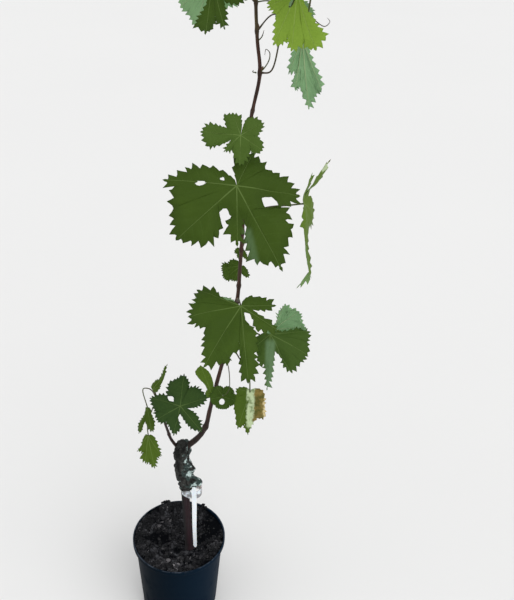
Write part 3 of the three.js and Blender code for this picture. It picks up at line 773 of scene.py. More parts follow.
def cane_rings(limb, start, end, nodes, seed):
    """The rings of one length of cane, and how near each of their points is to a node."""
    count = max(12, int(np.linalg.norm(limb.point(end) - limb.point(start)) / CANE_RING_GAP))
    t = np.linspace(start, end, count)
    points, radii = limb.point(t), limb.radius(t)
    angle = np.linspace(0, 2 * math.pi, CANE_SIDES, endpoint=False)[None, :]
    joint = np.zeros(count)
    for node in nodes:
        off = points[:, 2] - node
        joint = np.maximum(joint, np.exp(-(off / (1.6 + 0.6 * radii)) ** 2))
    ribs = 0.035 * np.sin(8 * angle + 1.5 * lumps(points / 30, seed)[:, None])
    height = points[:, 2:]
    around = np.stack([np.cos(angle) * 2 + 0 * height, np.sin(angle) * 2 + 0 * height,
                       height / 12 + 0 * angle], -1)
    ripple = ribs + 0.05 * lumps(around, seed) + 0.34 * joint[:, None]
    ripple = ripple + 0.05 * lumps(points / 7, seed + 3)[:, None]
    return tube(points, radii, CANE_SIDES, ripple), joint[:, None] + 0 * angle


def make_canes():
    finish = cane_finish()
    for length in range(SHOOT_LENGTHS):
        shape = Shape()
        start, end = length / SHOOT_LENGTHS, (length + 1) / SHOOT_LENGTHS
        rows, joint = cane_rings(shoot, start, end, SHOOT_NODES, 60)
        shape.grid(rows, joint=joint)
        shape.make(f"main_shoot_{length + 1}", [finish], [f"shoot_{length + 1}"])
    shape = Shape()
    rows, joint = cane_rings(side_shoot, 0, 1, SIDE_NODES, 70)
    shape.grid(rows, joint=joint)
    shape.make("left_shoot", [finish], ["side_shoot"])


make_canes()

# ---------------------------------------------------------------- label
# A blank loop label of thin white plastic film: a band once round the foot of the graft, and a
# long tail in front of it that hangs down towards the compost.

LABEL = {"x": 22.2, "z": 264, "half_width": 17, "half_depth": 13, "inset": 1.2, "height": 13,
         "thickness": 0.7, "stations": 150}
TAIL = {"top": (27, -28.8, 290), "bottom": (29, -28.8, 156), "width": 8, "thickness": 0.6,
        "stations": 90}
# The strap's edges: how much of its section each corner's rounding takes.
STRAP_ROUNDING = 0.012


def film_finish():
    film = Finish("white_film", roughness=0.3, specular_ior_level=0.4, subsurface_weight=0.2)
    crease = film.noise(60, 3.0, 0.6, stretch=(1, 1, 0.3))
    white = crease.blend((0.82, 0.85, 0.89), (0.9, 0.92, 0.94))
    clear = (film.mark("clear") * film.noise(110, 2.0).step(0.4, 0.6)) * 0.85
    film.colour(clear.blend(white, (0.13, 0.115, 0.13)))
    film.bump(crease, 0.0015, 0.5)
    return film


def strip(path, ways, width, thickness):
    """A closed strap along a path: at each point its width runs along the given way."""
    path, ways = np.asarray(path, float), np.asarray(ways, float)
    run = np.gradient(path, axis=0)
    face = np.cross(run, ways)
    face /= np.linalg.norm(face, axis=1)[:, None]
    square = [(-0.5, -0.5), (0.5, -0.5), (0.5, 0.5), (-0.5, 0.5)]
    corners = rounded([(x, y, STRAP_ROUNDING) for x, y in square], 2)
    section = []
    for start, end in zip(corners, np.roll(corners, -1, 0)):
        long_side = np.linalg.norm(start - end) > 0.4
        section.extend(np.linspace(start, end, 5)[:-1] if long_side else [start])
    section = np.array(section)[None]
    width = np.broadcast_to(width, len(path))
    return (path[:, None] + section[..., :1] * width[:, None, None] * ways[:, None]
            + section[..., 1:] * thickness * face[:, None])


def make_band(film):
    """The band: a flattened spiral whose two ends overlap at the front."""
    turn = np.linspace(-0.56 * math.pi, 1.5 * math.pi, LABEL["stations"])
    ring = np.stack([np.cos(turn) * (LABEL["half_width"] - LABEL["inset"]),
                     np.sin(turn) * (LABEL["half_depth"] - LABEL["inset"])], -1)
    spiral = 1 + np.linspace(0.03, -0.03, LABEL["stations"])[:, None]
    path = np.column_stack([ring * spiral + np.array([LABEL["x"], TRUNK_Y]),
                            LABEL["z"] + LABEL["height"] / 2 + 0.6 * np.sin(turn * 3 + 0.6)])
    tip = np.array([[0.06 * math.sin(3 * a), 0.03 * math.cos(2 * a), 1] for a in turn])
    rows = strip(path, tip, LABEL["height"], LABEL["thickness"])
    away = rows[..., :2] - np.array([LABEL["x"], TRUNK_Y])
    rows[..., :2] += away * (0.055 * lumps(rows / 4.5, 77) - 0.02)[..., None]
    rows[..., 2] += 0.8 * lumps(rows / 6, 78)
    band = Shape()
    band.grid(rows, clear=1.0)
    band.make("label_band", [film], ["label_loop"])


def make_tail(film):
    """The tail: a strap that waves and twists a little, narrower towards its rounded end."""
    top, bottom = np.array(TAIL["top"], float), np.array(TAIL["bottom"], float)
    share = np.linspace(0, 1, TAIL["stations"])[:, None]
    path = top + (bottom - top) * share + np.array([0.25, 0.3, 0]) * np.sin(share * math.pi * 2.2)
    path[:, 1] += 0.5 * np.sin(share[:, 0] * 9)
    share = share[:, 0]
    twist = 0.16 * np.sin(share * 5.1 + 0.4)
    lean = math.atan2(bottom[0] - top[0], top[2] - bottom[2])
    ways = np.column_stack([np.cos(twist) * math.cos(lean), np.sin(twist),
                            np.cos(twist) * math.sin(lean)])
    end = np.minimum(1, np.sqrt(np.clip((1 - share) / 0.03, 0.02, 1)))
    start = np.minimum(1, 0.55 + 0.45 * smooth(0, 0.06, share))
    width = TAIL["width"] * (0.98 - 0.3 * share) * end * start
    tail = Shape()
    tail.grid(strip(path, ways, width, TAIL["thickness"]), clear=0.0)
    tail.make("label_tail_strap", [film], ["label_tail"])


label_film = film_finish()
make_band(label_film)
make_tail(label_film)

# ---------------------------------------------------------------- leaves
# Palmate vine leaves. The thin blade has saw-toothed lobes round two to six main veins, is
# quilted between its side veins, and hangs on a long stalk that joins it below.

LEAF_THICKNESS = 0.45
SCORCH_WIDTH = 26
STALK_FOOT, STALK_MIDDLE, STALK_TIP = 1.75, 1.05, 1.3
STALK_STATIONS, STALK_SIDES = 44, 12
MARGIN_STATIONS = 241
# Inside this share of the nearer notch's distance the blade is a plain fan round the stalk.
FAN_SHARE = 0.6
# How far the two hindmost edges bend apart, one up and one down, so that they can cross, and
# how far the side veins bow backwards.
EDGE_LIFT, VEIN_BOW = 2.2, 0.22

# Each tooth has four rows: the cleft, the long slope, the tip, where a side vein ends, and the
# short slope. For each row: its place in the tooth, how far it stands out, and its lean forward.
TOOTH_ROWS = [(0.0, -0.34, 0.0), (0.3, 0.1, 0.0), (0.55, 0.66, 0.2), (0.8, 0.02, 0.06)]
LAST_TOOTH = [(0.0, -0.34, 0.0), (0.25, 0.1, 0.0), (0.45, 0.35, 0.0)]


def polar(angle, radius):
    """A place on the flat blade: 0 is straight downhill, and angles run to the right hand."""
    turn = np.radians(angle)
    return np.array([radius * np.cos(turn), radius * np.sin(turn)])


def roll(points, direction, distance, radius, angle):
    """Rolls what lies beyond a line round a cylinder, towards the upper side if angle > 0."""
    way = polar(direction, 1.0)
    beyond = points[:, :2] @ way - distance
    side, full = math.copysign(1, angle), abs(math.radians(angle))
    turned_by = np.clip(beyond / radius, 0, full)
    past = np.maximum(beyond - radius * full, 0)
    along = radius * np.sin(turned_by) + past * math.cos(full)
    along = along - side * points[:, 2] * np.sin(turned_by)
    above = side * (radius * (1 - np.cos(turned_by)) + past * math.sin(full))
    bent = points.copy()
    bent[:, :2] += way * (along - beyond)[:, None]
    bent[:, 2] = above + points[:, 2] * np.cos(turned_by)
    return np.where((beyond > 0)[:, None], bent, points)


def leaf_axes(bearing, tilt):
    """A hanging blade's own axes: downhill, to the right hand, and out of its upper side."""
    b, t = math.radians(bearing), math.radians(tilt)
    return np.array([
        (math.sin(b) * math.sin(t), -math.cos(b) * math.sin(t), -math.cos(t)),
        (math.cos(b), math.sin(b), 0),
        (math.sin(b) * math.cos(t), -math.cos(b) * math.cos(t), math.sin(t)),
    ])


def half_lobe(lobe, notch, inner, side, pitch, columns, bite, random):
    """Rows of one side of a lobe, each from the main vein to the margin, from stalk to tip."""
    angle, length, left, right, point = lobe
    ahead, across = polar(angle, 1.0), polar(angle + 90, side)
    start = polar(*notch)
    first, out = start @ ahead, start @ across
    free = length - first
    margin = left if side < 0 else right
    if isinstance(margin, list):
        turns = [(polar(*spot) @ ahead, polar(*spot) @ across) for spot in margin]
        line = Limb([(x, y, 0, 1) for x, y in ((first, out), *turns, (length, 0))])
        curve = line.point(np.linspace(0, 1, MARGIN_STATIONS))[:, :2]
    else:
        handles = np.array([(first, out), (first + 0.12 * free, max(1.3 * margin, out)),
                            (length - point * free, 1.3 * margin), (length, 0)])
        t = np.linspace(0, 1, MARGIN_STATIONS)[:, None]
        curve = ((1 - t) ** 3 * handles[0] + 3 * t * (1 - t) ** 2 * handles[1]
                 + 3 * t ** 2 * (1 - t) * handles[2] + t ** 3 * handles[3])
    arc = np.concatenate([[0], np.cumsum(np.linalg.norm(np.diff(curve, axis=0), axis=1))])
    teeth = max(2, round(arc[-1] / pitch))
    rows = [(k + place, out_by, lean, k)
            for k in range(teeth) for place, out_by, lean in TOOTH_ROWS]
    rows += [(teeth + place, out_by, lean, teeth) for place, out_by, lean in LAST_TOOTH]
    of_tooth = [row[3] for row in rows]
    place = np.array([row[0] for row in rows])
    shifts = np.concatenate([[0], random.uniform(-0.24, 0.24, teeth - 1), [0, 0]])
    place = place + np.interp(place, np.arange(teeth + 2), shifts)
    place = place / (teeth + LAST_TOOTH[-1][0])
    edge = np.column_stack([np.interp(place * arc[-1], arc, curve[:, k]) for k in (0, 1)])
    way = np.gradient(curve, axis=0)
    way = np.column_stack([np.interp(place * arc[-1], arc, way[:, k]) for k in (0, 1)])
    way /= np.maximum(np.linalg.norm(way, axis=1), 1e-9)[:, None]
    outward = np.column_stack([-way[:, 1], way[:, 0]])
    which = np.arange(teeth + 1)
    sizes = random.uniform(0.5, 1.45, teeth + 1) * np.where(which % 2, 0.85, 1.15)
    sinus = np.clip(1.3 - 1.8 * notch[1] / length, 0, 1)
    sizes *= np.clip((which + 0.4) / (0.4 + 4.5 * sinus), 0, 1) * 0.62 * pitch * bite
    reach = np.array([row[1] for row in rows]) * sizes[of_tooth]
    reach[0] = 0
    lean = np.array([row[2] for row in rows]) * pitch * min(1, bite)
    tooth = outward * reach[:, None] + way * lean[:, None]
    lag = edge[:, 0] - 0.7 * edge[:, 1]
    lag = np.maximum.accumulate((lag - lag[0]) / max(lag[-1] - lag[0], 1e-6))
    vein = inner + (length - inner) * (0.85 * lag + 0.15 * place)
    vein[-1] = length
    fan_teeth = max(1, round(inner / pitch))
    fan = np.array([(k + row[0]) / fan_teeth for k in range(fan_teeth) for row in TOOTH_ROWS])
    veins = np.column_stack([np.concatenate([fan * inner, vein]), np.zeros(len(fan) + len(vein))])
    edges = np.concatenate([fan[:, None] * np.array([first, out]), edge])
    tooth = np.concatenate([np.zeros((len(fan), 2)), tooth])
    veins[-1] = edges[-1] = (length + 0.3 * sizes[-1], 0)
    tooth[-1] = 0
    v = (np.arange(columns + 1) / columns) ** 1.2
    chord = np.linalg.norm(edges - veins, axis=1)[:, None]
    flat = veins[:, None] * (1 - v)[None, :, None] + edges[:, None] * v[None, :, None]
    bow = np.concatenate([fan * 0, np.clip(4 * place, 0, 1)])[:, None]
    flat[..., 0] -= VEIN_BOW * bow * v * (1 - v) * chord
    untoothed = flat.copy()
    flat += tooth[:, None] * (v ** 5)[None, :, None]
    kinds = [row[0] for row in TOOTH_ROWS] * (fan_teeth + teeth)
    kinds += [row[0] for row in LAST_TOOTH]
    middle = np.array([min(abs(kind - 0.55), 0.45) for kind in kinds])[:, None]
    gap = np.concatenate([fan * 0 + inner / fan_teeth, vein * 0 + (length - inner) / teeth])
    gap = gap[:, None]
    fade = np.concatenate([fan * 0 + 5, vein * 0])[:, None] * v ** 2
    return {
        "flat": flat[..., :1] * ahead + flat[..., 1:] * across,
        "across": v + 0 * chord,
        "rib": middle * (gap * (1 - v) + pitch * v) + fade,
        "puff": np.concatenate([fan[:, None] * 0 + 0.5, middle[len(fan):] / 0.45]) + 0 * v,
        "broad": np.clip(chord / 22, 0, 1) + 0 * v,
        "along": veins[:, :1] / length + 0 * v,
        "untoothed": untoothed[..., :1] * ahead + untoothed[..., 1:] * across,
        "margin": curve[::3, :1] * ahead + curve[::3, 1:] * across,
        "lift": side * v * np.clip(chord / 20, 0, 1),
    }


def welded(parts):
    """Joins nets that share an edge into one flat net: its points, faces and values."""
    flat = np.concatenate([part["flat"].reshape(-1, 2) for part, _, _ in parts])
    _, keep_at, number = np.unique(np.round(flat, 4), axis=0, return_index=True,
                                   return_inverse=True)
    number = number.ravel()
    faces, start = [], 0
    for part, side, _ in parts:
        high, wide = part["flat"].shape[:2]
        index = number[start:start + high * wide].reshape(high, wide)
        start += high * wide
        quads = np.stack([index[:-1, :-1], index[1:, :-1], index[1:, 1:], index[:-1, 1:]], -1)
        quads = quads.reshape(-1, 4)
        for quad in (quads if side > 0 else quads[:, ::-1]).tolist():
            corners = [c for k, c in enumerate(quad) if c != quad[k - 1]]
            if len(set(corners)) > 2:
                faces.append(corners)
    values = {name: np.concatenate([part[name].ravel() for part, _, _ in parts])[keep_at]
              for name in ("across", "rib", "puff", "broad", "along", "edge")}
    lifts = [(part["lift"] * lift).ravel() for part, _, lift in parts]
    values["lift"] = np.concatenate(lifts)[keep_at]
    return flat[keep_at], faces, values


def pierced(flat, faces, holes):
    """Takes oval holes out of a blade: each is a place, a half length and width, and a turn."""
    for angle, radius, long, wide, turn in holes:
        off = flat - polar(angle, radius)
        along, across = off @ polar(turn, 1.0) / long, off @ polar(turn + 90, 1.0) / wide
        reach = np.hypot(along, across)
        faces = [face for face in faces if np.mean(reach[face]) > 1]
        used = np.unique([corner for face in faces for corner in face])
        moved = used[reach[used] < 1]
        flat[moved] += off[moved] * (1 / np.maximum(reach[moved], 0.2) - 1)[:, None]
    return faces


def blade(leaf, random):
    """The blade's length and flat net, and for each point how near it is to veins and margin."""
    size = max(lobe[1] for lobe in leaf["lobes"])
    pitch = 1.6 + 0.088 * size
    columns = 9 if size > 45 else 7
    bite = leaf.get("teeth", 1.0)
    parts = []
    last = len(leaf["lobes"]) - 1
    for index, lobe in enumerate(leaf["lobes"]):
        notches = leaf["notches"][index:index + 2]
        inner = FAN_SHARE * min(notches[0][1], notches[1][1])
        for side, notch in ((-1, notches[0]), (1, notches[1])):
            outermost = (index == 0 and side < 0) or (index == last and side > 0)
            rows = half_lobe(lobe, notch, inner, side, pitch, columns, bite, random)
            parts.append((rows, side, EDGE_LIFT if outermost else 0.0))
    margin = np.concatenate([rows["margin"] for rows, _, _ in parts])
    for rows, _, _ in parts:
        away = np.linalg.norm(rows["untoothed"][:, :, None] - margin, axis=-1).min(-1)
        rows["edge"] = smooth(0.11 * size, 0, away)
    flat, faces, values = welded(parts)
    faces = pierced(flat, faces, leaf.get("holes", ()))
    nearest, beside = np.full(len(flat), 1e9), 0
    for lobe in leaf["lobes"]:
        way = polar(lobe[0], 1.0)
        along = np.clip(flat @ way, 0, lobe[1])
        gap = np.linalg.norm(flat - along[:, None] * way, axis=1)
        taper = (1 - 0.8 * along / lobe[1]) * min(1, lobe[1] / size + 0.2)
        half = 0.12 + (0.12 + 0.0055 * size) * taper
        nearest = np.minimum(nearest, gap / half)
        beside = beside + np.exp(-gap / 2.5)
    values["main"] = nearest
    values["beside"] = np.maximum(0, -2.5 * np.log(beside))
    values["rib"] = values["rib"] / (0.22 + 0.0012 * size)
    return size, flat, faces, values


def shaped(leaf, size, flat, values, seed, under):
    """One face of the blade: its relief, sag and rolls, put in its place on the plant."""
    scale = min(1.0, size / 80)
    deep = np.column_stack([flat, 0 * flat[:, 0] + 7.3 * seed])
    v = values["across"]
    away = np.linalg.norm(flat, axis=1)
    hollow = np.clip(1 - values["main"] / 3.5, 0, 1)
    edge, inside = values["edge"], np.minimum(1, away / (0.35 * size))
    height = 0.9 * scale * (values["puff"] - 0.5) * values["broad"] * np.sin(math.pi * v) ** 2
    height = height + 2.4 * scale * smooth(0, 4 + 11 * scale, values["beside"]) * inside
    height = height + 8.0 * scale * lumps(deep / (0.5 * size), seed) * inside
    height = height + 1.4 * scale * edge * lumps(deep / (0.17 * size), seed + 5)
    height = height - 3.4 * scale * edge * inside + values["lift"] * min(1.0, size / 60)
    thick = LEAF_THICKNESS * (1 - 0.55 * edge)
    if under:
        rib = np.clip(1 - values["rib"] / 3, 0, 1) * (1 - v)
        proud = (0.25 + 0.75 * scale) * hollow * (1 - 0.75 * values["along"])
        height = height - thick / 2 - proud - 0.22 * rib
    else:
        height = height + thick / 2 - 0.2 * hollow * (1 - values["along"])
    height = height - leaf["dome"] * (away / 100) ** 2
    points = np.column_stack([flat, height])
    for bend in leaf.get("rolls", ()):
        points = roll(points, *bend)
    return np.array(leaf["at"]) + points @ leaf_axes(*leaf["face"])


def map_places(flat, lower):
    """Where one side of the blade lies on its finish map, and the map's scale. The underside
    lies beside the upper side, or above it if that lets both be larger."""
    low, high = flat.min(0), flat.max(0)
    tall, wide = high - low
    beside, above = min(0.96 / (2 * wide), 0.88 / tall), min(0.97 / wide, 0.88 / (2 * tall))
    scale = max(beside, above)
    shift = np.array([0.0, 0.0])
    if lower:
        shift[0 if beside >= above else 1] = (wide if beside >= above else tall) * scale + 0.02
    place = np.column_stack([flat[:, 1] - low[1], flat[:, 0] - low[0]]) * scale
    return place + shift + np.array([0.01, 0.09]), scale


def stalk_line(leaf):
    """The stalk's course from its node to the blade's underside."""
    face = leaf_axes(*leaf["face"])[2]
    start = leaf["limb"].point(leaf["limb"].at_height(leaf["node"]))[0]
    end = np.array(leaf["at"], float)
    reach = np.linalg.norm(end - start)
    via = leaf.get("via", [start + 0.35 * (end - start) + np.array([0, 0, 0.08 * reach]),
                           end - 0.22 * reach * face])
    stations = [start, *via, end - 0.3 * face]
    return Limb([(*place, 1.0) for place in stations])


def blemishes(leaf, flat):
    """How scorched and how pale the blade is at each of its points."""
    scorch, pale = np.zeros(len(flat)), np.zeros(len(flat))
    if "scorch" in leaf:
        direction, distance, reach = leaf["scorch"]
        scorch = np.clip((flat @ polar(direction, 1.0) - distance) / SCORCH_WIDTH, 0, 1)
        scorch *= smooth(reach + 9, reach - 5, np.linalg.norm(flat, axis=1))
    for angle, near, far, half_width, strength in leaf.get("pale", ()):
        along, off = flat @ polar(angle, 1.0), np.abs(flat @ polar(angle + 90, 1.0))
        patch = smooth(near - 4, near + 4, along) * smooth(far + 5, far - 5, along)
        patch = patch * smooth(half_width + 2.5, half_width - 2.5, off)
        pale = np.maximum(pale, strength * patch)
    return scorch, pale


def add_rim(shape, flat, faces, upper_map, scale):
    """Closes the blade's two sides, of as many points each, with a band round every edge."""
    count = len(flat)
    edges = {(face[k - 1], face[k]) for face in faces for k in range(len(face))}
    for a, b in sorted(edges):
        if (b, a) in edges:
            continue
        out = np.array([flat[b][0] - flat[a][0], flat[a][1] - flat[b][1]])
        out = out * scale * 0.6 * LEAF_THICKNESS / max(np.linalg.norm(out), 1e-6)
        shape.faces.append((b, a, a + count, b + count))
        shape.places.extend([upper_map[b], upper_map[a], upper_map[a] + out, upper_map[b] + out])
        shape.slots.append(0)


def add_stalk(shape, leaf, size):
    t = np.linspace(0, 1, STALK_STATIONS)
    width = min(1.0, 0.42 + size / 140)
    radii = np.interp(t, [0, 0.05, 0.14, 0.5, 0.93, 1],
                      [STALK_FOOT, STALK_FOOT * 0.95, STALK_MIDDLE * 1.1, STALK_MIDDLE,
                       STALK_MIDDLE, STALK_TIP])
    rows = tube(stalk_line(leaf).point(t), radii * width, STALK_SIDES)
    shape.grid(rows, area=(0.01, 0.005, 0.99, 0.07), lying=True, slot=2,
               across=t[:, None] + 0 * rows[..., 0])


def make_leaf(number, leaf, finishes):
    random = np.random.default_rng(900 + number)
    size, flat, faces, values = blade(leaf, random)
    yellow, blue, light = leaf.get("tone", random.uniform((0.05, 0.1, 0.3), (0.3, 0.4, 0.7)))
    scorch, pale = blemishes(leaf, flat)
    marks = {name: values[name] for name in ("main", "rib", "across", "edge")}
    marks.update(yellow=yellow, blue=blue, light=light, scorch=scorch, pale=pale)
    upper_map, scale = map_places(flat, False)
    lower_map, _ = map_places(flat, True)
    shape = Shape()
    shape.add(shaped(leaf, size, flat, values, number, False), faces,
              [upper_map[c] for face in faces for c in face], 0, **marks)
    lower_faces = [[face[0], *face[:0:-1]] for face in faces]
    shape.add(shaped(leaf, size, flat, values, number, True), lower_faces,
              [lower_map[c] for face in lower_faces for c in face], 1, **marks)
    add_rim(shape, flat, faces, upper_map, scale)
    add_stalk(shape, leaf, size)
    name = f"leaf_{number:02d}"
    shape.make(f"vine_{name}", finishes, [name])


def leaf_colours(leaf, deep, mid, lemon, glaucous):
    """The blade's ground colour: how much lemon or grey-blue each leaf has is marked on it."""
    cloud = leaf.noise(26, 3.0, 0.55)
    ground = (leaf.mark("light") + cloud * 0.9 - 0.45).step(0, 1).blend(deep, mid)
    ground = leaf.mark("yellow").blend(ground, lemon)
    return (leaf.mark("blue") * 0.55).blend(ground, glaucous)


def upper_finish():
    leaf = Finish("leaf_upper_side", specular_ior_level=0.1)
    vein = 1 - leaf.mark("main").step(0.4, 1.3)
    rib = 1 - leaf.mark("rib").step(0.4, 1.5)
    net = leaf.node("TexVoronoi", {"Vector": leaf.place(), "Scale": 330.0}, out="Distance",
                    feature="DISTANCE_TO_EDGE").step(0.0, 0.09)
    ground = leaf_colours(leaf, (0.009, 0.026, 0.001), (0.034, 0.067, 0.005),
                          (0.2, 0.32, 0.036), (0.02, 0.056, 0.034))
    ground = ((1 - net) * 0.1).blend(ground, (0.06, 0.12, 0.02))
    ground = (rib * 0.12 * (1 - leaf.mark("across") * 0.6)).blend(ground, (0.1, 0.18, 0.04))
    light_vein = leaf.mark("yellow").blend((0.16, 0.24, 0.07), (0.34, 0.44, 0.14))
    ground = ((1 - leaf.mark("edge")) * 0.09).blend(ground, (0.08, 0.14, 0.012))
    ground = (vein * 0.4).blend(ground, light_vein)
    ground = (leaf.mark("pale") * 0.75).blend(ground, (0.13, 0.22, 0.11))
    scorch = leaf.mark("scorch")
    scorch = scorch + (leaf.noise(85, 5.0, 0.65) - 0.5) * scorch.step(0, 0.1) * 0.55
    whitish = scorch.step(0.02, 0.16) * (leaf.noise(170, 3.0).step(0.3, 0.5) * 0.55 + 0.35)
    ground = whitish.blend(ground, (0.52, 0.62, 0.38))
    browning = leaf.noise(110, 4.0, 0.6).step(0.36, 0.72)
    browning = browning.blend((0.085, 0.085, 0.018), (0.25, 0.18, 0.05))
    ground = scorch.step(0.38, 0.52).blend(ground, browning)
    leaf.colour(scorch.step(0.92, 1.04).blend(ground, (0.74, 0.6, 0.32)))
    leaf.link("Roughness", leaf.noise(40, 2.0) * 0.18 + 0.5 + (1 - net) * 0.1)
    leaf.bump(net * 0.4 - rib * 0.4 - vein * 0.2, 0.00035, 0.7)
    return leaf


def under_finish():
    leaf = Finish("leaf_underside", roughness=0.75, specular_ior_level=0.1)
    vein = 1 - leaf.mark("main").step(0.5, 1.6)
    rib = 1 - leaf.mark("rib").step(0.4, 1.9)
    net = leaf.node("TexVoronoi", {"Vector": leaf.place(), "Scale": 330.0}, out="Distance",
                    feature="DISTANCE_TO_EDGE").step(0.0, 0.1)
    ground = leaf_colours(leaf, (0.14, 0.27, 0.11), (0.24, 0.4, 0.19),
                          (0.28, 0.42, 0.1), (0.2, 0.42, 0.23))
    ground = ((1 - net) * 0.25).blend(ground, (0.26, 0.42, 0.25))
    ground = (rib * 0.45).blend(ground, (0.3, 0.44, 0.24))
    ground = (vein * 0.8).blend(ground, (0.36, 0.47, 0.25))
    burnt = (leaf.mark("scorch") * 1.6 + leaf.noise(60, 4.0, 0.6) - 0.75).step(0.15, 0.75)
    leaf.colour(burnt.blend(ground, (0.36, 0.24, 0.11)))
    leaf.bump((1 - net) * 0.5 + rib * 0.6 + vein, 0.00035, 0.7)
    return leaf


def stalk_finish():
    stalk = Finish("leaf_stalk", roughness=0.5, specular_ior_level=0.3)
    streak = stalk.noise(300, 3.0, 0.6, stretch=(1, 1, 0.2))
    red = (1 - stalk.mark("across")).step(0.1, 0.75)
    base = (red * 0.8 + streak * 0.5 - 0.25).blend((0.07, 0.09, 0.025), (0.035, 0.014, 0.012))
    stalk.colour(streak.step(0.5, 0.8).blend(base, (0.08, 0.055, 0.028)))
    stalk.bump(streak, 0.0004, 0.5)
    return stalk


def plain_leaf(size):
    """The lobes and notches of an ordinary five-lobed blade of that length."""
    lobes = [(-104, 0.62, 0.23, 0.23, 0.15), (-50, 0.8, 0.25, 0.23, 0.2), (0, 1, 0.25, 0.25, 0.25),
             (50, 0.8, 0.23, 0.25, 0.2), (104, 0.62, 0.23, 0.23, 0.15)]
    notches = [(-168, 0.1), (-76, 0.46), (-25, 0.54), (25, 0.54), (76, 0.46), (168, 0.1)]
    return {
        "dome": 4,
        "teeth": 1.3,
        "lobes": [(angle, *(size * part for part in parts), point)
                  for angle, *parts, point in lobes],
        "notches": [(angle, size * radius) for angle, radius in notches],
    }


